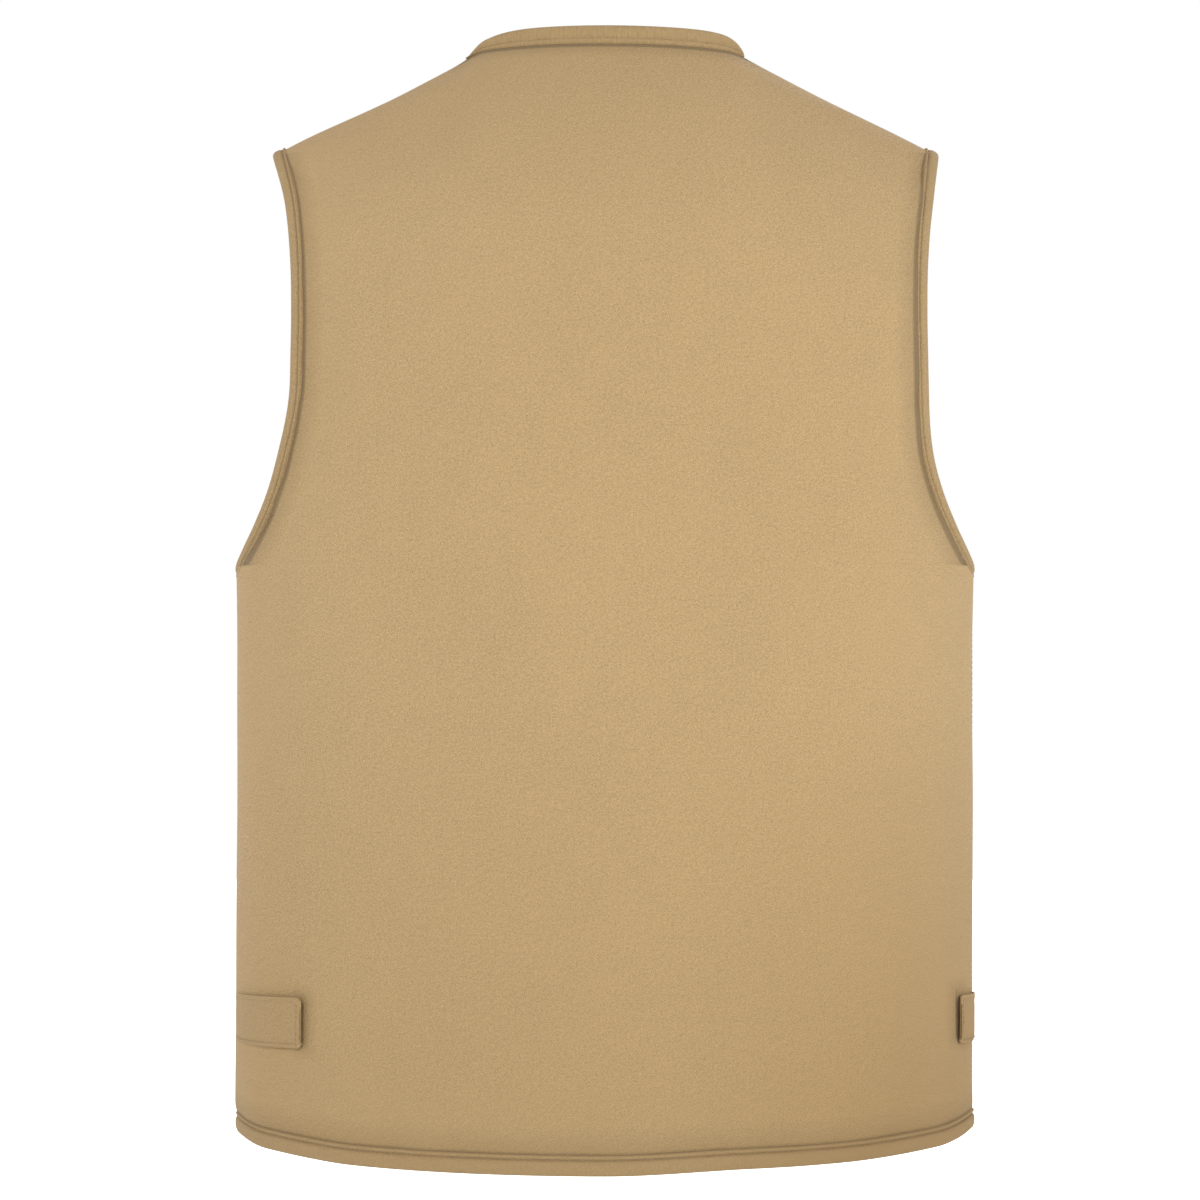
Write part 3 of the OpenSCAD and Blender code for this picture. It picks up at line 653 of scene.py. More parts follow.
def cloth_material(name, colour, wales=1100.0, contrast=0.3, relief=0.00026, sheen=0.06,
                   seam_shadow_painted=False):
    """Woven cloth on the piece's own UV map, which is laid out in metres of cloth."""
    material, tree, shader = new_material(name)
    place = tree.nodes.new("ShaderNodeTexCoord")
    weave = use_group(tree, WEAVE, Cloth=place.outputs["UV"], Wales_per_metre=wales)
    fade_and_shade = use_group(tree, FADE_AND_SHADE, Place=place.outputs["Object"])
    threads = mixed(tree, weave.outputs["Slub"], shade(colour, 1 - contrast),
                    shade(colour, 1 + contrast))
    # Painted shade in the weave's hollows and painted highlight on its raised wales
    wale = mixed(tree, weave.outputs["Height"], shade(colour, 0.86), shade(colour, 1.1))
    base = mixed(tree, 0.35, threads, wale)
    toned = mixed(tree, math_node(tree, "MULTIPLY", fade_and_shade.outputs["Patches"], 0.16), base,
                 shade(colour, 1.28))
    # Painted shade: the cloth is darkened towards the hem, the neck and the lower right
    low = math_node(tree, "MULTIPLY", fade_and_shade.outputs["Painted shade"], 0.5)
    toned = mixed(tree, low, toned, (colour[0] * 0.78, colour[1] * 0.74, colour[2] * 0.66))
    # Painted shadow beside the bindings, under the neck band and at the side tabs' ends
    if seam_shadow_painted:
        kept = tree.nodes.new("ShaderNodeAttribute")
        kept.attribute_name = "seam_shadow_share"
        painted_shadow = use_group(tree, SEAM_SHADOW, Share=kept.outputs["Fac"])
        toned = mixed(tree, math_node(tree, "MULTIPLY", painted_shadow.outputs["Painted shadow"], 0.75), toned,
                     shade(colour, 0.34))
    tree.links.new(toned, shader.inputs["Base Color"])
    tree.links.new(remap(tree, weave.outputs["Slub"], 0, 1, 0.82, 0.97),
                   shader.inputs["Roughness"])
    height = math_node(tree, "ADD", weave.outputs["Height"],
                       math_node(tree, "MULTIPLY", weave.outputs["Slub"], 0.8))
    bumped(tree, shader, height, relief)
    shader.inputs["Sheen Weight"].default_value = sheen
    shader.inputs["Sheen Roughness"].default_value = 0.5
    shader.inputs["Specular IOR Level"].default_value = 0.25
    return material


def mesh_material(name, colour):
    """Knitted mesh lining: rows of small holes, painted dark as shade rather than cut."""
    material, tree, shader = new_material(name)
    place = tree.nodes.new("ShaderNodeTexCoord")
    parts = tree.nodes.new("ShaderNodeSeparateXYZ")
    tree.links.new(place.outputs["UV"], parts.inputs[0])
    rows = 2 * math.pi * 330
    wave = math_node(tree, "MULTIPLY",
                     math_node(tree, "SINE", math_node(tree, "MULTIPLY", parts.outputs["X"], rows)),
                     math_node(tree, "SINE", math_node(tree, "MULTIPLY", parts.outputs["Y"], rows)))
    holes = remap(tree, wave, 0.35, 0.6)
    fade_and_shade = use_group(tree, FADE_AND_SHADE, Place=place.outputs["Object"])
    yarn = mixed(tree, fade_and_shade.outputs["Patches"], shade(colour, 0.9), shade(colour, 1.12))
    # Painted shade: the holes are dark colour laid on the yarn
    base = mixed(tree, holes, yarn, shade(colour, 0.3))
    tree.links.new(base, shader.inputs["Base Color"])
    tree.links.new(remap(tree, holes, 0, 1, 0.75, 0.95), shader.inputs["Roughness"])
    bumped(tree, shader, math_node(tree, "SUBTRACT", 1.0, holes), 0.0004)
    shader.inputs["Specular IOR Level"].default_value = 0.3
    return material


def fleecy_material(name, colour, tufts, relief):
    """Hooks or loops of a fastening: a dense field of small tufts, with painted shade between them."""
    material, tree, shader = new_material(name)
    place = tree.nodes.new("ShaderNodeTexCoord")
    cells = tree.nodes.new("ShaderNodeTexVoronoi")
    cells.inputs["Scale"].default_value = tufts
    tree.links.new(place.outputs["Object"], cells.inputs["Vector"])
    near = remap(tree, cells.outputs["Distance"], 0.1, 0.7, 1.0, 0.0)
    # Painted shade between the tufts, lighter on the tufts themselves
    tree.links.new(mixed(tree, near, shade(colour, 0.5), shade(colour, 1.25)),
                   shader.inputs["Base Color"])
    tree.links.new(remap(tree, near, 0, 1, 0.9, 0.6), shader.inputs["Roughness"])
    bumped(tree, shader, near, relief)
    return material


def hard_material(name, colour, metallic, rough, grain=900.0, coat=0.0):
    """Plated zinc or moulded plastic with grain and scuffs."""
    material, tree, shader = new_material(name)
    place = tree.nodes.new("ShaderNodeTexCoord")
    finish = use_group(tree, GRAIN, Place=place.outputs["Object"], Scale=grain)
    base = mixed(tree, finish.outputs["Grain"], shade(colour, 0.85), shade(colour, 1.12))
    toned = mixed(tree, finish.outputs["Scuffs"], base, shade(colour, 1.5))
    tree.links.new(toned, shader.inputs["Base Color"])
    tree.links.new(remap(tree, finish.outputs["Grain"], 0.3, 0.7, rough - 0.08, rough + 0.1),
                   shader.inputs["Roughness"])
    shader.inputs["Metallic"].default_value = metallic
    bumped(tree, shader, finish.outputs["Grain"], 0.00003, 0.6)
    if coat:
        shader.inputs["Coat Weight"].default_value = coat
    return material


KHAKI = (0.462, 0.318, 0.157)
TWILL = cloth_material("khaki twill", KHAKI)
SHELL_TWILL = cloth_material("khaki shell twill", KHAKI, wales=620.0, contrast=0.22, seam_shadow_painted=True)
BINDING = cloth_material("folded binding", shade(KHAKI, 0.97), wales=1250.0)
TAPE = cloth_material("woven tape", (0.30, 0.205, 0.10), wales=1500.0, relief=0.0003)
LABEL = cloth_material("blank satin label", (0.62, 0.54, 0.40), wales=2600.0, relief=0.00008)
THREAD = cloth_material("sewing thread", (0.50, 0.35, 0.185), wales=2500.0, relief=0.0001)
LINING = mesh_material("mesh lining", (0.40, 0.295, 0.165))
HOOKS = fleecy_material("fastening hooks", (0.30, 0.21, 0.11), 1100.0, 0.0006)
LOOPS = fleecy_material("fastening loops", (0.36, 0.26, 0.14), 1700.0, 0.0004)
METAL = hard_material("plated zinc", (0.45, 0.42, 0.37), 1.0, 0.36)
TEETH = hard_material("moulded teeth", (0.19, 0.135, 0.075), 0.0, 0.42, coat=0.2)

FINISH = {
    "twill": TWILL, "binding": BINDING, "tape": TAPE, "label": LABEL, "lining": LINING,
    "hook_patch": HOOKS, "loop_patch": LOOPS, "zip_metal": METAL, "zip_teeth": TEETH,
}


SOFT = []


def finished(piece, slot, *replaced, body=None, material=None):
    """Gives a piece its material, chosen by its slot unless one is given, hides the CAD nodes it stands
    for and attaches it to its body.
    """
    if not slot.startswith("zip"):
        SOFT.append(piece)
    piece.data.materials.clear()
    piece.data.materials.append(material or FINISH[slot])
    if replaced:
        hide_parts(*replaced)
    if body:
        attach(piece, body)
    return piece


def hang_front(piece):
    """Moves a front piece's own placement into its mesh."""
    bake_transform(piece)


# ---------------------------------------------------------------- camera, light and floor

def camera():
    data = bpy.data.cameras.new("camera")
    data.lens = 88.4
    data.sensor_width = 36
    eye = bpy.data.objects.new("camera", data)
    bpy.context.scene.collection.objects.link(eye)
    eye.location = (3 * MM, 1.75, HEM + 314.8 * MM)
    eye.rotation_euler = (math.radians(90), 0, math.radians(180))
    bpy.context.scene.camera = eye


def softbox(name, at, size, power):
    data = bpy.data.lights.new(name, "AREA")
    data.shape = "RECTANGLE"
    data.size, data.size_y = size
    data.energy = power
    light = bpy.data.objects.new(name, data)
    bpy.context.scene.collection.objects.link(light)
    light.location = at
    aim = Vector((0, 0, HEM + 0.33)) - Vector(at)
    light.rotation_euler = aim.to_track_quat("-Z", "Y").to_euler()


def studio():
    softbox("key", (0.9, 2.6, HEM + 1.5), (1.6, 1.2), 26)
    softbox("fill", (-1.6, 2.0, HEM + 0.7), (1.4, 1.6), 12)
    softbox("front key", (-1.0, -2.4, HEM + 1.5), (1.6, 1.2), 26)
    softbox("front fill", (1.5, -2.0, HEM + 0.6), (1.4, 1.6), 12)
    softbox("side", (-2.4, 0.5, HEM + 0.5), (1.2, 1.6), 12)
    softbox("other side", (2.4, 0.3, HEM + 0.6), (1.0, 1.6), 6)
    world = bpy.data.worlds.new("studio")
    world.use_nodes = True
    tree = world.node_tree
    seen = tree.nodes["Background"]
    seen.inputs["Color"].default_value = (1, 1, 1, 1)
    seen.inputs["Strength"].default_value = 1.0
    lit = tree.nodes.new("ShaderNodeBackground")
    lit.inputs["Color"].default_value = (1, 1, 1, 1)
    lit.inputs["Strength"].default_value = 0.72
    path = tree.nodes.new("ShaderNodeLightPath")
    choose = tree.nodes.new("ShaderNodeMixShader")
    tree.links.new(path.outputs["Is Camera Ray"], choose.inputs[0])
    tree.links.new(lit.outputs[0], choose.inputs[1])
    tree.links.new(seen.outputs[0], choose.inputs[2])
    tree.links.new(choose.outputs[0], tree.nodes["World Output"].inputs["Surface"])
    bpy.context.scene.world = world
    bpy.context.scene.view_settings.view_transform = "Standard"


def floor():
    deselect()
    bpy.ops.mesh.primitive_plane_add(size=12, location=(0, 0, HEM - 0.42))
    ground = named("floor")
    material, tree, shader = new_material("pale floor")
    place = tree.nodes.new("ShaderNodeTexCoord")
    speckle = noise_node(tree, place.outputs["Object"], 30.0)
    tree.links.new(mixed(tree, speckle, (0.93, 0.93, 0.92), (0.96, 0.96, 0.955)),
                   shader.inputs["Base Color"])
    shader.inputs["Roughness"].default_value = 0.9
    shader.inputs["Emission Color"].default_value = (1, 1, 1, 1)
    path = tree.nodes.new("ShaderNodeLightPath")
    glow = math_node(tree, "MULTIPLY", path.outputs["Is Camera Ray"], 0.9)
    tree.links.new(glow, shader.inputs["Emission Strength"])
    ground.data.materials.append(material)


# ---------------------------------------------------------------- shell and lining

def piecewise(share, stops):
    """Height at a share of the rows, so that a row lies on each stop."""
    for (a, low), (b, high) in zip(stops, stops[1:]):
        if share <= b + 1e-9:
            return low + (high - low) * (share - a) / (b - a)
    return stops[-1][1]


ROWS = 225
LINING_ROWS = 75
STOPS = [(0, 0.0), (8 / 15, UNDERARM), (23 / 25, TIP), (1, NECKLINE)]


def panel_height(v):
    """Rows crowd together at the underarm and the shoulder tip, where the edge turns."""
    height = piecewise(v, STOPS)
    if UNDERARM < height < TIP:
        share = (height - UNDERARM) / (TIP - UNDERARM)
        height = UNDERARM + (TIP - UNDERARM) * (share * 0.5 + 0.25 * (1 - math.cos(math.pi * share)))
    return height


def back_place(depth):
    def place(u, v):
        height = panel_height(v)
        turn = math.sin(math.pi * (u - 0.5))
        way = back_end(height) * turn
        point = raised("back", way, height, ripple("back", way, height) - depth)
        return point, (round_length("back", way), height)
    return place


def front_place(depth):
    def place(u, v):
        height = panel_height(v)
        low, high = front_start(height), front_end(height)
        way = low + (high - low) * (0.55 * u + 0.45 * math.sin(math.pi / 2 * u))
        point = raised("front", way, height, ripple("front", way, height) - depth)
        return point, (round_length("front", way), height)
    return place


TAB_END_X = {side: HALF_WIDTH * math.sin(math.radians(90 * end)) for side, end in TAB_END.items()}


def mark_seam_shadow(piece, face):
    """Keeps on each vertex how far it lies from a bound edge, the neck band or a side tab's end, as a
    share of the binding: the mask for the painted seam shadow.
    """
    mark = piece.data.attributes.new("seam_shadow_share", "FLOAT", "POINT")
    for k, vertex in enumerate(piece.data.vertices):
        height = min(max(vertex.co.z - HEM, 0.0), NECKLINE)
        shares = [height / HEM_WIDTH]
        ends = [back_edge_x] if face == "back" else [lambda h: back_edge_x(h) - scoop(h)]
        if UNDERARM < height < TIP:
            slope = (ends[0](height + 1 * MM) - ends[0](height - 1 * MM)) / (2 * MM)
            across = ends[0](height) - abs(vertex.co.x)
            shares.append(max(0.0, across) / math.hypot(1, slope) / BINDING_WIDTH)
        if face == "back":
            # Painted shadow under the neck band
            shares.append(1 + (NECKLINE - height - 2.1 * MM) / (4.5 * MM))
            # Painted shadow at the side tab's end; it stays on the shell when the tab moves
            side = "left" if vertex.co.x > 0 else "right"
            beyond = abs(abs(vertex.co.x) - TAB_END_X[side] + 0.6 * MM)
            above = abs(height - TAB_LOW - TAB_LIFT - TAB_HEIGHT / 2) - TAB_HEIGHT / 2 + 1 * MM
            shares.append(1 + max(beyond, above) / (5 * MM))
        if face == "front" and height > V_FOOT:
            share = (height - V_FOOT) / (NECK_HEIGHT - V_FOOT)
            start = PANEL_EDGE + (NECK_HALF - PANEL_EDGE) * share ** 1.15
            shares.append(max(0.0, abs(vertex.co.x) - start) * 0.94 / BINDING_WIDTH)
        mark.data[k].value = min(min(shares), 6.0)


def shells():
    back = laid_grid("back_shell", 150, ROWS, back_place(0), flip=True)
    mark_seam_shadow(back, "back")
    thicken(back, SHELL)
    smooth(back)
    finished(back, "twill", "back_panel", body="back", material=SHELL_TWILL)
    lining = laid_grid("back_mesh_lining", 90, LINING_ROWS, back_place(LINING_DEPTH), flip=True)
    thicken(lining, 0.6 * MM)
    smooth(lining)
    finished(lining, "lining", "back_lining", body="back")
    for side in SIDES:
        shell = laid_grid("front_shell_" + side, 80, ROWS, front_place(0), side)
        mark_seam_shadow(shell, "front")
        thicken(shell, SHELL)
        smooth(shell)
        finished(shell, "twill", "front_panel_" + side, material=SHELL_TWILL)
        hang_front(shell)
        mesh = laid_grid("front_mesh_lining_" + side, 50, LINING_ROWS, front_place(LINING_DEPTH), side)
        thicken(mesh, 0.6 * MM)
        smooth(mesh)
        finished(mesh, "lining", "front_lining_" + side)
        hang_front(mesh)


# ---------------------------------------------------------------- bindings and band

# A folded binding seen end on, as shares of its width in from the edge, and rises in mm:
# a soft fold, the stitched groove, then a narrow lip over the seam
FOLD = [
    (1.02, -0.3), (1.0, 0.6), (0.965, 1.3), (0.9, 1.5), (0.83, 1.15), (0.785, 0.35), (0.73, 0.3),
    (0.69, 0.9), (0.62, 1.5), (0.5, 1.8), (0.3, 1.85), (0.1, 1.6), (-0.06, 1.0), (-0.13, 0.2),
]
GROOVE_SHARE, GROOVE_RISE = 0.757, 0.42


def edge_frames(face, path, inward):
    """At each [way, height] of an edge: its point, outward and inward directions."""
    frames = []
    for k, (way, height) in enumerate(path):
        before, after = path[max(0, k - 1)], path[min(len(path) - 1, k + 1)]
        along = (POINT[face](*after) - POINT[face](*before)).normalized()
        up = outward(face, way, height)
        frames.append((way, height, POINT[face](way, height), up, inward * up.cross(along).normalized()))
    return frames


def from_edge(face, frame_at, inset, rise):
    """The point a distance in from an edge, measured over the cloth, and raised off it."""
    way, height, point, up, lead = frame_at
    if inset <= 0:
        return point + inset * lead + rise * up
    across = round_step(face, way, height)
    flat = lead - lead.z * up_step(face, way, height)
    way_in = way + inset * flat.dot(across) / across.length_squared
    return raised(face, way_in, height + inset * lead.z, rise)


def folded_binding(name, face, path, inward, width, side="left"):
    """Binding folded over an edge, with its row of stitches. Returns both pieces."""
    frames = edge_frames(face, path, inward)
    rings, line, outs = [], [], []
    for at in frames:
        waver = 0.25 * MM * noise.noise(at[2] * 40)
        outer = [from_edge(face, at, share * width, rise * MM + waver) for share, rise in FOLD]
        inner = [from_edge(face, at, share * width, -WALL - rise * MM - waver)
                 for share, rise in reversed(FOLD)]
        rings.append(outer + inner)
        line.append(from_edge(face, at, GROOVE_SHARE * width, GROOVE_RISE * MM + waver))
        outs.append(at[3])
    piece = lofted(name, rings, side)
    smooth(piece, 60)
    thread = stitches(name + "_stitches", line, outs, side)
    return piece, thread


def armhole_path(end):
    steps = 110
    return [(end(h), h) for h in
            (UNDERARM + (TIP - UNDERARM) * (1 - math.cos(math.pi * i / steps)) / 2
             for i in range(steps + 1))]


def bindings():
    hem = [(math.sin(math.pi * (i / 240 - 0.5)), 0.0) for i in range(241)]
    piece, thread = folded_binding("back_hem_bound", "back", hem, -1, HEM_WIDTH)
    finished(piece, "binding", "back_hem_binding", body="back")
    finished(thread, "binding", body="back", material=THREAD)
    for side in SIDES:
        piece, thread = folded_binding("back_armhole_bound_" + side, "back",
                                       armhole_path(back_end), -1, BINDING_WIDTH, side)
        finished(piece, "binding", "back_armhole_binding_" + side, body="back")
        finished(thread, "binding", body="back", material=THREAD)
        rise = (NECKLINE - 3 * MM - V_FOOT) / 90
        v_path = [(front_start(V_FOOT + rise * i), V_FOOT + rise * i) for i in range(91)]
        start = front_start(0)
        low_path = [(start + (1 - start) * math.sin(math.pi / 2 * i / 110), 0.0)
                    for i in range(111)]
        for name, path, inward, width in (
                ("front_armhole_bound_", armhole_path(front_end), 1, BINDING_WIDTH),
                ("v_neck_bound_", v_path, -1, BINDING_WIDTH),
                ("front_hem_bound_", low_path, 1, HEM_WIDTH)):
            piece, thread = folded_binding(name + side, "front", path, inward, width, side)
            finished(piece, "binding", name.replace("bound", "binding") + side)
            finished(thread, "binding", material=THREAD)
            for part in (piece, thread):
                hang_front(part)


# The neck band seen end on: how far out from its middle in mm, and its share of the rise
BAND = [
    (0.8, -0.14), (1.2, -0.04), (1.75, 0.02), (2.05, 0.1), (2.0, 0.19), (1.45, 0.26), (1.35, 0.33),
    (1.75, 0.42), (1.85, 0.6), (1.65, 0.8), (1.1, 0.95), (0.3, 1.0), (-0.5, 0.97), (-1.2, 0.85),
    (-1.5, 0.6), (-1.55, 0.3), (-1.5, 0.0), (-1.3, -0.12),
]


def neck_band():
    half_span, rise, steps = 81 * MM, 9.3 * MM, 120
    rings, line, outs = [], [], []
    for i in range(steps + 1):
        x = half_span * math.sin(math.pi * (i / steps - 0.5))
        way = back_way(x)
        at = back_point(way, NECKLINE)
        out = Vector((x / half_span, at.y / back_point(0, NECKLINE).y + 0.05, 0)).normalized()
        worn_end, fall, shape = (79 * MM, 6, 0.9) if x > 0 else (half_span, 9, 0.5)
        stand = rise * max(0.0, 1 - (abs(x) / worn_end) ** fall) ** shape + 1.5 * MM
        waver = 0.3 * MM * noise.noise(at * 30)
        lean = Vector((0, -0.25, 1))
        base = at - out * (WALL / 2 - waver)
        rings.append([base + out * (across * MM) + lean * (share * stand) for across, share in BAND])
        line.append(base + out * (1.45 * MM) + lean * (0.295 * stand))
        outs.append(out)
    band = lofted("neck_band_folded", rings)
    smooth(band, 60)
    finished(band, "binding", "neck_band", body="back")
    thread = stitches("neck_band_stitches", line, outs)
    finished(thread, "binding", body="back", material=THREAD)


# ---------------------------------------------------------------- side tabs

def tab_outline(from_way, to_way, low, high, corner):
    """The tab's strip as (way, low height, high height), with its free corners rounded."""
    steps = 44
    reach = (back_point(from_way, 0) - back_point(to_way, 0)).length
    outline = []
    for i in range(steps + 1):
        along = math.sin(math.pi / 2 * i / steps)
        way = from_way + (to_way - from_way) * along
        left = reach * (1 - along)
        tuck = 0.0
        if left < corner:
            tuck = corner - math.sqrt(max(0.0, corner ** 2 - (corner - left) ** 2))
        lift = TAB_LIFT * (TAB_ROOT - way) / (TAB_ROOT - TAB_END["left"])
        outline.append((way, low + lift + tuck, high + lift - tuck))
    return outline


def tab_strip(name, side, outline, rise, thick, crown=0.0, rooted=False):
    """A strip over the back, thickened outwards, with softly rounded edges."""
    def place(u, v):
        way, low, high = outline[round(u * (len(outline) - 1))]
        height = low + (high - low) * v
        puff = crown * (1 - (2 * v - 1) ** 6) * (1 - u ** 12)
        if rooted:
            puff -= (rise - 0.2 * MM) * (1 - ease(u, 0.0, 0.4))
            puff -= 0.9 * MM * (1 - ease(v, 0.0, 0.1)) * ease(u, 0.0, 0.3)
            puff += 0.5 * MM * (ease(u, 0.93, 0.98) + 0.6 * (ease(v, 0.9, 0.95)))
            puff += 0.25 * MM * noise.noise(Vector((height * 90, u * 14, 2)))
        return raised("back", way, height, rise + thick + puff), (round_length("back", way), height)
    strip = laid_grid(name, len(outline) - 1, 14, place, side)
    edit(strip)
    bpy.ops.mesh.remove_doubles(threshold=0.00002)
    leave_edit()
    thicken(strip, thick)
    soften(strip, 0.35 * MM, 2)
    smooth(strip)
    return strip


def side_tabs():
    for side in SIDES:
        end = TAB_END[side]
        outline = tab_outline(TAB_ROOT, end, TAB_LOW, TAB_LOW + TAB_HEIGHT, TAB_CORNER)
        tab = tab_strip("waist_tab_" + side, side, outline, TAB_RISE, TAB_THICK, 0.2 * MM,
                        True)
        finished(tab, "twill", "side_tab_" + side, body="side_tab_" + side)
        reach = round_length("back", TAB_ROOT) - round_length("back", end)
        inset = 2.5 * MM
        trimmed = [(way, low + inset, high - inset) for way, low, high in outline if way > end + 0.012]
        row = [(w, lo) for w, lo, hi in trimmed] + [
            (trimmed[-1][0], lo) for lo in (trimmed[-1][1], trimmed[-1][2])] + [
            (w, hi) for w, lo, hi in reversed(trimmed)]
        line, outs = [], []
        for w, h in row:
            share = (outline[0][0] - w) / (outline[0][0] - end)
            u = 2 / math.pi * math.asin(max(0.0, min(1.0, share)))
            rise = TAB_RISE + TAB_THICK + 0.2 * MM - (TAB_RISE - 0.2 * MM) * (1 - ease(u, 0.0, 0.4))
            line.append(raised("back", w, h, rise))
            outs.append(outward("back", w, h))
        thread = stitches("waist_tab_stitches_" + side, line, outs, side)
        finished(thread, "twill", body="side_tab_" + side, material=THREAD)
        start = end + (TAB_ROOT - end) * 0.6
        for kind, low_rise, body, material in (
                ("loop", 0.2 * MM, "back", "loop_patch"),
                ("hook", TAB_RISE - TAB_PATCH, "side_tab_" + side, "hook_patch")):
            patch = tab_strip("tab_" + kind + "s_" + side, side,
                              tab_outline(start, end + 0.015, TAB_LOW + 3 * MM,
                                          TAB_LOW + TAB_HEIGHT - 3 * MM, 4 * MM),
                              low_rise, TAB_PATCH)
            finished(patch, material, "tab_" + kind + "_patch_" + side, body=body)


# ---------------------------------------------------------------- the fronts' flat stretch

# On a front, x runs from the middle towards the side, y is inwards and z is up from the hem
FRONT_PLACE = Matrix.Translation((0, -FRONT_DEPTH, HEM)) @ Matrix.Rotation(FRONT_YAW, 4, "Z")
MIRROR = Matrix.Diagonal((-1, 1, 1, 1))


def front_matrix(side):
    return FRONT_PLACE if side == "left" else MIRROR @ FRONT_PLACE


def on_front(x, rise, height):
    """A point of the left front's flat stretch, raised off it."""
    return FRONT_PLACE @ Vector((x, -rise, height))


FRONT_OUT = FRONT_PLACE.to_3x3() @ Vector((0, -1, 0))


def place_on(piece, side):
    return settle(piece, front_matrix(side))


# ---------------------------------------------------------------- pockets and flaps

POCKET_CLOTH = 1.2 * MM
LOWER_START, LOWER_WIDTH = 22.4 * MM, 114.6 * MM
LOWER_LEVEL, LOWER_HEIGHT, LOWER_DEPTH = 30 * MM, 172 * MM, 20 * MM
SLOT = LOWER_LEVEL + LOWER_HEIGHT - 20 * MM
FLAP_POCKET_DEPTH = 12 * MM
FLAP_HEIGHT = 44 * MM
FLAP_OVER = 3 * MM
FLAP_RISE = 2.85 * MM
FLAP_THICK = 1.8 * MM
SEW_RISE = 7 * MM

# Each flapped pocket: its start, level, width and height, and the rise that it is sewn on
FLAPPED = {
    "chest": (44.4 * MM, 262 * MM, 92.6 * MM, 112 * MM, 0.0),
    "pocket": (34.4 * MM, 40 * MM, 90.6 * MM, 96 * MM, LOWER_DEPTH),
}
WALL_RINGS = 6


def pouch(name, side, start, level, width, height, low, high, cut, open_top=False, puff=2.5 * MM):
    """A sewn pocket: a soft gusset round a front that swells a little and sags at its foot."""
    columns, rows = 44, 52

    def place(u, v):
        i, j = u * columns, v * rows
        top = 1e9 if open_top else rows - j
        near = min(i, columns - i, j, top)
        wall = min(1.0, near / WALL_RINGS)
        last = rows if open_top else rows - WALL_RINGS
        across = (min(max(i, WALL_RINGS), columns - WALL_RINGS) - WALL_RINGS) / (
            columns - 2 * WALL_RINGS)
        upward = (min(max(j, WALL_RINGS), last) - WALL_RINGS) / (last - WALL_RINGS)
        x, z = across * width, upward * height
        corner = max(0.0, cut - z)
        x = corner + x * (width - 2 * corner) / width
        turn = wall * math.pi / 2
        rise = low + (high - low) * math.sin(turn) ** 0.8
        soft = 1.4 * MM * (1 - math.cos(turn))
        x += soft * (1 - 2 * across)
        z += soft * (1 - (1 if open_top else 2) * upward)
        if wall >= 1:
            body = (math.sin(math.pi * across) * math.sin(math.pi * min(1.0, 0.08 + 0.84 * upward)))
            spot = Vector((x * 26 + start * 50, z * 22, level * 40))
            rise += puff * max(0.0, body) ** 0.7 - 0.9 * MM
            rise += 1.1 * MM * noise.noise(spot) + 0.5 * MM * noise.noise(spot * 2.7)
        else:
            crumple = 0.7 * MM * math.sin(math.pi * wall)
            x += crumple * noise.noise(Vector((x * 60, z * 60, level * 30))) * 2
        gusset = (1 - wall) * (high - low)
        return on_front(start + x, rise, level + z), (x + gusset, z + gusset)

    piece = laid_grid(name, columns, rows, place, side)
    edit(piece)
    bpy.ops.mesh.remove_doubles(threshold=0.00003)
    leave_edit()
    thicken(piece, POCKET_CLOTH)
    smooth(piece, 60)
    return piece


def pocket_border(start, level, width, height, rise, cut, inset, open_top=False):
    """The line that a pocket's edge stitches follow, just inside its front's edge."""
    left, right = start + inset, start + width - inset
    low, high = level + inset, level + height - (0 if open_top else inset)
    corner = cut + 0.2 * inset
    line = [(left, high), (left, low + corner), (left + corner, low), (right - corner, low),
            (right, low + corner), (right, high)]
    if not open_top:
        line.append((left, high))
    fine = []
    for (ax, az), (bx, bz) in zip(line, line[1:]):
        for n in range(12):
            fine.append(on_front(ax + (bx - ax) * n / 12, rise, az + (bz - az) * n / 12))
    fine.append(on_front(line[-1][0], rise, line[-1][1]))
    return fine


def laid_stitches(name, piece_line, side, surface):
    """Stitches dropped along a line onto a piece's outer face."""
    drawn = []
    lift = FRONT_OUT * 0.03
    bpy.context.view_layer.update()
    for point in piece_line:
        start, way = mirrored(point, side) + mirrored(lift, side), -mirrored(FRONT_OUT, side)
        hit, at = surface.ray_cast(start, way)[:2]
        drawn.append(mirrored(at, side) if hit else point)
    return stitches(name, drawn, [FRONT_OUT] * len(drawn), side)


def flap_profile(base):
    """The flap seen end on, as rise and drop below its sewn edge."""
    out = base + FLAP_POCKET_DEPTH + FLAP_RISE + FLAP_THICK
    return [(base + 1.9 * MM, 0.0), (base + 6 * MM, 0.6 * MM), (out - 3 * MM, 3.0 * MM),
            (out - 0.2 * MM, 7 * MM), (out + 0.9 * MM, 14 * MM), (out + 0.7 * MM, 26 * MM),
            (out + 0.1 * MM, 37 * MM), (out + 0.2 * MM, FLAP_HEIGHT)]


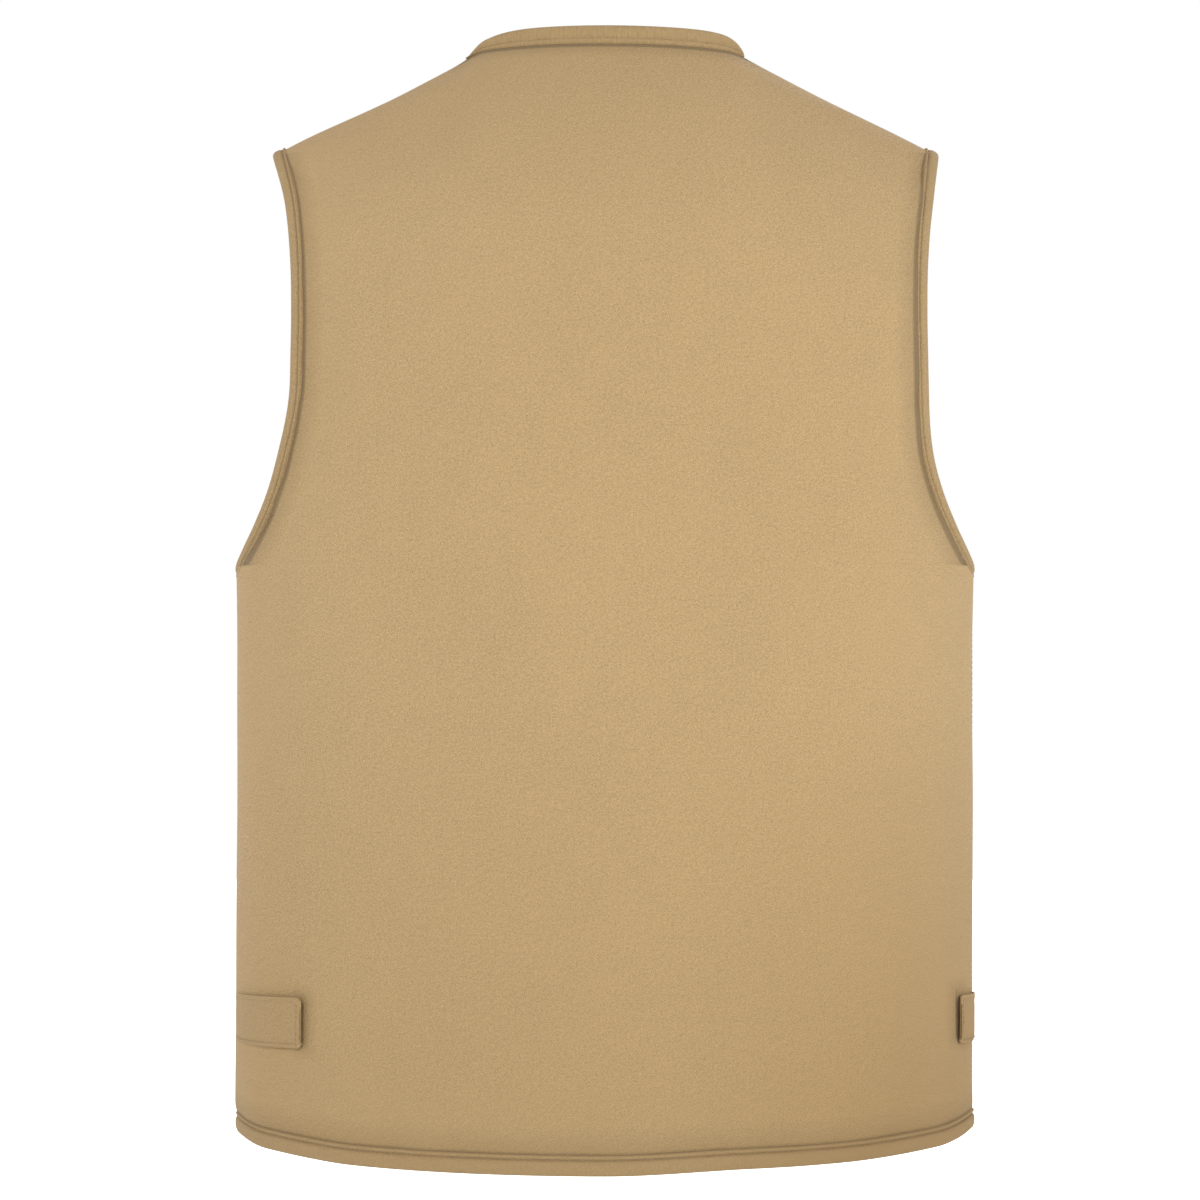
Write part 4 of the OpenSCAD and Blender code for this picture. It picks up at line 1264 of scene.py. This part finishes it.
def flap(name, side, start, sew, width, base):
    """A sewn flap that falls over its pocket, with rounded lower corners."""
    profile = flap_profile(base)
    columns, rows = 40, 28
    corner = 9 * MM

    def place(u, v):
        t = (1 - v) * (len(profile) - 1)
        k = min(len(profile) - 2, int(t))
        share = t - k
        rise = profile[k][0] + (profile[k + 1][0] - profile[k][0]) * share
        drop = profile[k][1] + (profile[k + 1][1] - profile[k][1]) * share
        full = width + 2 * FLAP_OVER
        x = u * full
        side_gap = min(x, full - x)
        limit = FLAP_HEIGHT
        if side_gap < corner:
            limit -= corner - math.sqrt(max(0.0, corner ** 2 - (corner - side_gap) ** 2))
        drop = min(drop, limit)
        swell = 1.2 * MM * math.sin(math.pi * u) * ease(drop, 0.004, 0.02)
        wave = 0.7 * MM * noise.noise(Vector((x * 40 + sew * 30, drop * 45, base * 90)))
        wave *= ease(drop, 0.003, 0.012)
        return on_front(start - FLAP_OVER + x, rise + swell + wave, sew - drop), (x, -drop)

    piece = laid_grid(name, columns, rows, place, side)
    edit(piece)
    bpy.ops.mesh.remove_doubles(threshold=0.00003)
    leave_edit()
    thicken(piece, FLAP_THICK - 0.2 * MM)
    soften(piece, 0.4 * MM, 2, 60)
    smooth(piece, 60)
    return piece


def flap_border(start, sew, width, base, inset):
    left, right = start - FLAP_OVER + inset, start + width + FLAP_OVER - inset
    low = sew - FLAP_HEIGHT + inset
    high, corner = sew - 9 * MM, 8 * MM
    line = [(left, high), (left, low + corner)]
    line += [(left + corner * (1 - math.cos(a)), low + corner * (1 - math.sin(a)))
             for a in (math.radians(15 * n) for n in range(1, 7))]
    line += [(right - corner * (1 - math.sin(a)), low + corner * (1 - math.cos(a)))
             for a in (math.radians(15 * n) for n in range(0, 7))]
    line.append((right, high))
    fine = []
    for (ax, az), (bx, bz) in zip(line, line[1:]):
        pieces = max(1, int(math.hypot(bx - ax, bz - az) / (3 * MM)))
        fine += [on_front(ax + (bx - ax) * n / pieces, base + 0.02, az + (bz - az) * n / pieces)
                 for n in range(pieces)]
    fine.append(on_front(line[-1][0], base + 0.02, line[-1][1]))
    return fine


def fastening(name, side, start, sew, width, low):
    """Half of a hook-and-loop fastening: a soft-edged patch."""
    left = start + width / 2 - PATCH_WIDTH / 2
    bottom = sew - FLAP_HEIGHT + 5 * MM
    piece = block(name, (left, -low - PATCH_THICK, bottom),
                  (left + PATCH_WIDTH, -low, bottom + PATCH_HEIGHT), 0.35 * MM, 2)
    cloth_map(piece)
    place_on(piece, side)
    smooth(piece)
    return piece


def pockets():
    for side in SIDES:
        front = "front_" + side
        lower = pouch("cargo_pocket_" + side, side, LOWER_START, LOWER_LEVEL, LOWER_WIDTH,
                      LOWER_HEIGHT, 0.3 * MM, LOWER_DEPTH + 0.6 * MM, 14 * MM, puff=1.2 * MM)
        finished(lower, "twill", "lower_pocket_" + side, body=front)
        border = pocket_border(LOWER_START, LOWER_LEVEL, LOWER_WIDTH, LOWER_HEIGHT,
                               LOWER_DEPTH, 14 * MM, 4 * MM)
        finished(laid_stitches("cargo_pocket_stitches_" + side, border, side, lower), "twill",
                 body=front, material=THREAD)
        for kind, (start, level, width, height, base) in FLAPPED.items():
            pocket = {"chest": "chest_pocket_", "pocket": "flap_pocket_"}[kind] + side
            patch = pouch(pocket.replace("pocket_", "pouch_"), side, start, level, width, height,
                          base + 0.3 * MM, base + FLAP_POCKET_DEPTH, 7 * MM, True, 1.0 * MM)
            finished(patch, "twill", pocket, body=front)
            border = pocket_border(start, level, width, height, base + 0.02, 7 * MM, 3.5 * MM, True)
            finished(laid_stitches(patch.name + "_stitches", border, side, patch), "twill",
                     body=front, material=THREAD)
            sew = level + height + SEW_RISE
            cover = kind + "_flap_" + side
            piece = flap(cover.replace("flap", "flap_cloth"), side, start, sew, width, base)
            finished(piece, "twill", cover, body=cover)
            border = flap_border(start, sew, width, base, 3.2 * MM)
            finished(laid_stitches(piece.name + "_stitches", border, side, piece), "twill",
                     body=cover, material=THREAD)
            loops = fastening(kind + "_loops_" + side, side, start, sew, width,
                              base + FLAP_POCKET_DEPTH + 0.25 * MM)
            finished(loops, "loop_patch", kind + "_loop_patch_" + side, body=front)
            hooks = fastening(kind + "_hooks_" + side, side, start, sew, width,
                              base + FLAP_POCKET_DEPTH + FLAP_RISE - 0.25 * MM - PATCH_THICK)
            finished(hooks, "hook_patch", kind + "_hook_patch_" + side, body=cover)
            bar = [on_front(start - FLAP_OVER + 2 * MM + (width + 2 * FLAP_OVER - 4 * MM) * n / 30,
                            base + 0.02, sew - 2.2 * MM) for n in range(31)]
            finished(laid_stitches(piece.name + "_sewn_edge", bar, side, piece), "twill",
                     body=cover, material=THREAD)


# ---------------------------------------------------------------- zips

ROW = 2.4 * MM
TEETH_THICK = 2.4 * MM
TOOTH_PITCH = 3.5 * MM
TAPE_THICK = 0.8 * MM
PLATE = 1.2 * MM
RUN_GAP = 0.4 * MM
SLIDER_LENGTH = 11 * MM
SLIDER_HALF = ROW + 2.2 * MM
CHANNEL = TEETH_THICK + 2 * RUN_GAP
PIN_RISE = CHANNEL + 2 * PLATE + 2.1 * MM + RUN_GAP
POST = 0.9 * MM
TAPE_START = 5 * MM + ROW - 0.6 * MM
TAPE_RISE = -WALL - 0.75 * MM - 0.9 * MM - 0.25 * MM - TAPE_THICK
TEETH_RISE = TAPE_RISE + TAPE_THICK / 2 - TEETH_THICK / 2
ZIP_LOW, ZIP_HIGH = 4 * MM, V_FOOT - 8 * MM
PIN_LENGTH = 9 * MM
POCKET_ZIP_RISE = LOWER_DEPTH + 0.25 * MM
POCKET_TEETH_RISE = POCKET_ZIP_RISE + TAPE_THICK / 2 - TEETH_THICK / 2
ROW_GAP = POST + RUN_GAP


def tooth_pattern():
    """A moulded tooth that points to -x, with a waist behind its head. Its middle is at 0."""
    tooth = block("tooth", (-ROW, -TEETH_THICK / 2, -0.24 * TOOTH_PITCH),
                  (0, TEETH_THICK / 2, 0.24 * TOOTH_PITCH))
    edit(tooth)
    bpy.ops.mesh.subdivide(number_cuts=2)
    leave_edit()
    for vertex in tooth.data.vertices:
        from_tip = (vertex.co.x + ROW) / ROW
        if 0.5 < from_tip < 0.9:
            vertex.co.z *= 0.62
        if from_tip < 0.1:
            vertex.co.z *= 0.75
            vertex.co.y *= 0.8
    for face in tooth.data.polygons:
        face.use_smooth = True
    return tooth


def teeth_row(name, length):
    """Teeth along z from 0, on the cord that they are moulded round."""
    count = int(length / TOOTH_PITCH)
    row = copies(name, tooth_pattern(), [
        Matrix.Translation((0, 0, (n + 0.375) * TOOTH_PITCH)) for n in range(count)])
    cord = block("cord", (-0.4 * ROW, -0.35 * TEETH_THICK, 0), (0, 0.35 * TEETH_THICK, length),
                 0.25 * MM, 2)
    return joined(name, [row, cord])


def tape_strip(name, low, high):
    """A woven tape along its longer way, thinner in the middle than at its two edges."""
    tape = block(name, low, high)
    edit(tape)
    bpy.ops.mesh.subdivide(number_cuts=6)
    leave_edit()
    upright = high[0] - low[0] < high[2] - low[2]
    axis = 0 if upright else 2
    for vertex in tape.data.vertices:
        share = (vertex.co[axis] - low[axis]) / (high[axis] - low[axis])
        if share < 0.2 or share > 0.8:
            continue
        middle = (low[1] + high[1]) / 2
        vertex.co.y = middle + (vertex.co.y - middle) * 0.7
    soften(tape, 0.2 * MM, 1, 60)
    return cloth_map(tape)


def slider(name, post_width):
    """A slider along z from 0: two shield-shaped plates on a post, with lugs and a pin."""
    plates = []
    for rise in (0, PLATE + CHANNEL):
        plate = block("plate", (-SLIDER_HALF, -rise - PLATE, 0), (SLIDER_HALF, -rise, SLIDER_LENGTH))
        edit(plate)
        bpy.ops.mesh.subdivide(number_cuts=5)
        leave_edit()
        for vertex in plate.data.vertices:
            up = vertex.co.z / SLIDER_LENGTH
            waist = 1 - 0.22 * math.sin(math.pi * min(1, up * 1.25)) * (1 - up) - 0.1 * (1 - up) ** 2
            vertex.co.x *= waist
            if abs(vertex.co.x) > 0.8 * SLIDER_HALF and up > 0.9:
                vertex.co.z -= 0.8 * MM
        soften(plate, 0.35 * MM, 2, 50)
        plates.append(plate)
    post = block("post", (-post_width / 2, -PLATE - CHANNEL - 0.1 * MM, 0.4 * MM),
                 (post_width / 2, -PLATE + 0.1 * MM, SLIDER_LENGTH - 0.4 * MM), 0.1 * MM, 1)
    lug_base = CHANNEL + 2 * PLATE
    lugs = [block("lug", (x, -PIN_RISE - 1.4 * MM, SLIDER_LENGTH / 2 - 1.6 * MM),
                  (x + 1 * MM, -lug_base + 0.2 * MM, SLIDER_LENGTH / 2 + 1.6 * MM), 0.35 * MM, 3)
            for x in (-3.4 * MM, 2.4 * MM)]
    pin = rod("pin", (0, -PIN_RISE, SLIDER_LENGTH / 2), 0.8 * MM, 6.2 * MM)
    return joined(name, plates + [post] + lugs + [pin])


def pull(name):
    """A pull that hangs from its pin, whose axis is x through the origin."""
    eye = rod("eye", (0, 0, 0), 2.0 * MM, 3.6 * MM, 32)
    hole = rod("hole", (0, 0, 0), 1.1 * MM, 6 * MM, 24)
    cut = eye.modifiers.new("hole", "BOOLEAN")
    cut.operation = "DIFFERENCE"
    cut.object = hole
    apply_modifiers(eye)
    bpy.data.objects.remove(hole)
    neck = block("neck", (-1.7 * MM, -0.4 * MM, -8.6 * MM), (1.7 * MM, 1.2 * MM, -1.3 * MM),
                 0.35 * MM, 2)
    paddle = block("paddle", (-3.6 * MM, -0.4 * MM, -26 * MM), (3.6 * MM, 1.2 * MM, -7.6 * MM))
    edit(paddle)
    bpy.ops.mesh.select_all(action="DESELECT")
    leave_edit()
    for face in paddle.data.polygons:
        face.select = abs(face.normal.y) > 0.9
    bpy.context.view_layer.objects.active = paddle
    bpy.ops.object.mode_set(mode="EDIT")
    bpy.ops.mesh.inset(thickness=1.1 * MM, depth=-0.35 * MM)
    bpy.ops.object.mode_set(mode="OBJECT")
    soften(paddle, 0.55 * MM, 3, 50)
    ribs = [block("rib", (-1.9 * MM, y - 0.12 * MM, z), (1.9 * MM, y + 0.12 * MM, z + 0.7 * MM),
                  0.1 * MM, 1)
            for y in (-0.1 * MM, 0.9 * MM) for z in [(-23.5 + 1.6 * n) * MM for n in range(9)]]
    return joined(name, [eye, neck, paddle] + ribs)


def placed_zip_part(piece, side, spot, turned=False):
    """Puts a slider, pull or row at a spot on a front, turned to run along x if need be."""
    matrix = Matrix.Translation(spot)
    if turned:
        matrix = matrix @ Matrix.Rotation(math.radians(90), 4, "Y")
    return settle(piece, front_matrix(side) @ matrix)


def front_zip():
    for side in SIDES:
        front = "front_" + side
        tape = tape_strip("zip_woven_tape_" + side, (TAPE_START, -TAPE_RISE - TAPE_THICK, ZIP_LOW),
                          (TAPE_START + 12 * MM, -TAPE_RISE, ZIP_HIGH))
        finished(place_on(tape, side), "tape", "zip_tape_" + side, body=front)
        row = teeth_row("zip_moulded_teeth_" + side, ZIP_HIGH - ZIP_LOW - PIN_LENGTH)
        row.data.transform(Matrix.Translation((
            TAPE_START - 0.12 * MM, -TEETH_RISE - TEETH_THICK / 2, ZIP_LOW + PIN_LENGTH)))
        foot = block("foot", (TAPE_START - ROW - 0.12 * MM, -TEETH_RISE - TEETH_THICK, ZIP_LOW),
                     (TAPE_START - 0.12 * MM, -TEETH_RISE, ZIP_LOW + PIN_LENGTH - 0.25 * MM),
                     0.4 * MM, 3)
        stop = block("stop", (TAPE_START - ROW - 0.1 * MM, -TEETH_RISE - TEETH_THICK,
                              ZIP_HIGH - 4 * MM), (TAPE_START, -TEETH_RISE, ZIP_HIGH - 0.4 * MM),
                     0.4 * MM, 3)
        row = joined("zip_moulded_teeth_" + side, [row, foot, stop])
        smooth(row, 35)
        finished(place_on(row, side), "zip_teeth", "zip_teeth_" + side, body=front)
        for inset in (8.5 * MM, 13.5 * MM):
            line = [on_front(5 * MM + inset, 0.1 * MM, 12 * MM + (V_FOOT - 16 * MM) * n / 80)
                    for n in range(81)]
            thread = stitches("zip_topstitch_%s_%d" % (side, round(inset / MM)), line,
                              [FRONT_OUT] * 81, side)
            finished(thread, "twill", body=front, material=THREAD)
    spot = Vector((TAPE_START - 0.125 * MM - ROW - RUN_GAP / 2 - POST / 2,
                   -(TEETH_RISE - RUN_GAP - PLATE), ZIP_LOW + PIN_LENGTH + RUN_GAP))
    body = slider("zip_slider", POST)
    smooth(body, 35)
    finished(placed_zip_part(body, "right", spot), "zip_metal", "main_slider", body="main_slider")
    tag = pull("zip_pull_tag")
    smooth(tag, 35)
    at_pin = spot + Vector((0, -PIN_RISE, SLIDER_LENGTH / 2))
    finished(placed_zip_part(tag, "right", at_pin), "zip_metal", "main_pull", body="main_pull")


def pocket_zips():
    inset = 10 * MM
    slot_half = SLIDER_HALF + 0.8 * MM
    wide = slot_half + 4.5 * MM - ROW_GAP / 2 - ROW
    for side in SIDES:
        front = "front_" + side
        start = LOWER_START + inset
        length = LOWER_WIDTH - 2 * inset
        tapes, rows = [], []
        for up in (1, -1):
            near = ROW_GAP / 2 + ROW + 0.12 * MM
            low, high = sorted((SLOT + up * near, SLOT + up * (near + wide)))
            tapes.append(tape_strip("tape", (start - 5 * MM, -POCKET_ZIP_RISE - TAPE_THICK, low),
                                    (start + length + 5 * MM, -POCKET_ZIP_RISE, high)))
            row = teeth_row("row", length - 2 * MM)
            flip = Matrix.Diagonal((1, 1, up, 1))
            turn = Matrix.Rotation(math.radians(90), 4, "Y")
            row.data.transform(Matrix.Translation((
                start + 1 * MM, -POCKET_TEETH_RISE - TEETH_THICK / 2,
                SLOT + up * (ROW_GAP / 2 + ROW))) @ flip @ Matrix.Diagonal((1, 1, -1, 1)) @ turn)
            edit(row)
            bpy.ops.mesh.normals_make_consistent(inside=False)
            leave_edit()
            rows.append(row)
        tape = joined("pocket_zip_woven_" + side, tapes)
        finished(place_on(tape, side), "tape", "pocket_zip_tape_" + side, body=front)
        row = joined("pocket_zip_moulded_" + side, rows)
        smooth(row, 35)
        finished(place_on(row, side), "zip_teeth", "pocket_zip_teeth_" + side, body=front)
        spot = Vector((start + 1 * MM, -(POCKET_TEETH_RISE - RUN_GAP - PLATE), SLOT))
        body = slider("pocket_zip_slider_" + side, POST)
        smooth(body, 35)
        finished(placed_zip_part(body, side, spot, True), "zip_metal", "pocket_slider_" + side,
                 body="pocket_slider_" + side)
        tag = pull("pocket_zip_tag_" + side)
        smooth(tag, 35)
        at_pin = spot + Vector((SLIDER_LENGTH / 2, -PIN_RISE, 0))
        finished(placed_zip_part(tag, side, at_pin), "zip_metal", "pocket_pull_" + side,
                 body="pocket_pull_" + side)


# ---------------------------------------------------------------- straps, label and seams


def strap(name, path, across, thick, side="left", columns=8):
    """Woven tape along a path of points, as wide as across, thickened to one side."""
    run = [0.0]
    for a, b in zip(path, path[1:]):
        run.append(run[-1] + (b - a).length)

    def place(u, v):
        k = round(v * (len(path) - 1))
        return path[k] + across * (u - 0.5), (u * across.length, run[k])

    piece = laid_grid(name, columns, len(path) - 1, place, side)
    thicken(piece, thick)
    soften(piece, thick * 0.3, 2, 60)
    smooth(piece)
    return piece


RING_WEBBING = 18 * MM
RING_X, RING_LEVEL = 27.4 * MM, V_FOOT - 32 * MM


def ring_webbing():
    """Webbing round the ring's bar, both ends sewn flat to the left front."""
    ring_x, ring_z = RING_X, RING_LEVEL
    ring_rise = 0.25 * MM + 1.5 * MM + 0.3 * MM + 1.2 * MM
    bore = 1.8 * MM
    outer = bore + 1.1 * MM
    path = [on_front(ring_x, 2.75 * MM, ring_z + 24 * MM - n * MM) for n in range(20)]
    path += [on_front(ring_x, ring_rise + outer * math.cos(a), ring_z + outer * math.sin(a))
             for a in (math.radians(60 - 15 * n) for n in range(17))]
    path += [on_front(ring_x, 1.35 * MM, ring_z + (4 + n) * MM) for n in range(20)]
    across = FRONT_PLACE.to_3x3() @ Vector((RING_WEBBING, 0, 0))
    piece = strap("ring_webbing", list(reversed(path)), across, 1.05 * MM)
    finished(piece, "tape", "d_ring_loop", body="front_left")
    box_line = [(-7, 6), (7, 6), (7, 21), (-7, 21), (-7, 6), (7, 21)]
    line = []
    for (ax, az), (bx, bz) in zip(box_line, box_line[1:]):
        line += [on_front(ring_x + (ax + (bx - ax) * n / 6) * MM, 2.95 * MM,
                          ring_z + (az + (bz - az) * n / 6) * MM) for n in range(6)]
    line.append(on_front(ring_x + 7 * MM, 2.95 * MM, ring_z + 21 * MM))
    thread = stitches("ring_webbing_stitches", line, [FRONT_OUT] * len(line), step=2.6 * MM)
    finished(thread, "tape", body="front_left", material=THREAD)


LOOP_HALF_SPAN, LOOP_BOW, LOOP_DROP = 26 * MM, 13 * MM, 22 * MM
LOOP_TAPE = 7 * MM
LABEL_WIDTH, LABEL_HEIGHT, LABEL_DROP = 46 * MM, 24 * MM, 56 * MM


def neck_pieces():
    level = NECK_HEIGHT - LOOP_DROP
    top = level + LOOP_TAPE
    way = back_way(LOOP_HALF_SPAN)
    lean = up_step("back", way, top).length
    root = back_point(way, top).y - (WALL + 0.8 * MM) * lean
    path = [Vector((LOOP_HALF_SPAN * n / 12,
                    root - LOOP_BOW * math.cos(math.pi / 2 * n / 12) ** 2,
                    HEM + level + LOOP_TAPE / 2)) for n in range(-12, 13)]
    loop = strap("hanging_loop", path, Vector((0, 0, LOOP_TAPE)), 1.1 * MM)
    finished(loop, "tape", "hang_loop", body="back")

    def label_place(u, v):
        x = LABEL_WIDTH * (u - 0.5)
        height = NECK_HEIGHT - LABEL_DROP + LABEL_HEIGHT * v
        way = math.copysign(back_way(abs(x)), x)
        sag = 0.4 * MM * noise.noise(Vector((x * 50, height * 60, 3)))
        return raised("back", way, height, -WALL - 1.9 * MM + sag), (x, height)

    label = laid_grid("blank_label", 24, 14, label_place)
    thicken(label, 0.5 * MM)
    soften(label, 0.15 * MM, 1, 60)
    smooth(label)
    finished(label, "label", "neck_label", body="back")
    border = [(-21, 2), (21, 2), (21, 22), (-21, 22), (-21, 2)]
    line, outs = [], []
    for (ax, az), (bx, bz) in zip(border, border[1:]):
        for n in range(14):
            x = (ax + (bx - ax) * n / 14) * MM
            height = NECK_HEIGHT - LABEL_DROP + (az + (bz - az) * n / 14) * MM
            way = math.copysign(back_way(abs(x)), x)
            line.append(raised("back", way, height, -WALL - 2.5 * MM))
            outs.append(-outward("back", way, height))
    finished(stitches("blank_label_stitches", line, outs), "label", body="back", material=THREAD)


def seams():
    """Flat-felled seams down both sides, with their two rows of stitches."""
    for side in SIDES:
        path = [raised("back", 1.0, h, 0.55 * MM) for h in
                (12 * MM + (UNDERARM - 16 * MM) * n / 60 for n in range(61))]
        strip = strap("side_seam_" + side, path, Vector((0, 7 * MM, 0)), 0.6 * MM, side, 6)
        finished(strip, "twill", body="back")
        for shift in (-2.3 * MM, 2.3 * MM):
            line = [p + Vector((0.05 * MM, shift, 0)) for p in path]
            thread = stitches("side_seam_stitches_%s_%s" % (side, "back" if shift > 0 else "front"),
                              line, [Vector((1, 0, 0))] * len(line), side)
            finished(thread, "twill", body="back", material=THREAD)


# ---------------------------------------------------------------- make it

camera()
studio()
floor()
shells()
bindings()
neck_band()
side_tabs()
pockets()
front_zip()
pocket_zips()
ring_webbing()
neck_pieces()
seams()

for node, piece in frame["nodes"].items():
    if not piece.hide_render:
        slot = next(s["material_slot"] for s in frame["record"]["subparts"] if s["node"] == node)
        piece.data.materials.clear()
        piece.data.materials.append(FINISH[slot])

def hang(at):
    """Where a point hangs: the shoulders dip, the armholes sway and the hem lifts."""
    height, out = at.z - HEM, abs(at.x)
    sway = ease(height, 0.39, 0.44) * (1 - ease(height, 0.54, 0.59))
    dip = ease(out, 0.07, 0.088) * (1 - ease(out, 0.115, 0.19))
    dip *= ease(height, 0.55, 0.6) * (4.2 * MM if at.x > 0 else 2.4 * MM)
    fade = (1 - ease(height, 0.0, 0.075)) * ease(at.y, -0.04, 0.03)
    if at.x > 0:
        lift = 1.6 * MM * ease(out, 0.14, 0.19) + 2.2 * MM * ease(out, 0.195, 0.217)
    else:
        lift = (2.3 * MM * ease(out, 0.0, 0.08) + 1.3 * MM * ease(out, 0.13, 0.19)
                + 2.6 * MM * ease(out, 0.19, 0.217))
    return Vector((at.x - 2.3 * MM * sway, at.y, at.z - dip + lift * fade))


for piece in SOFT:
    for vertex in piece.data.vertices:
        vertex.co = hang(vertex.co)
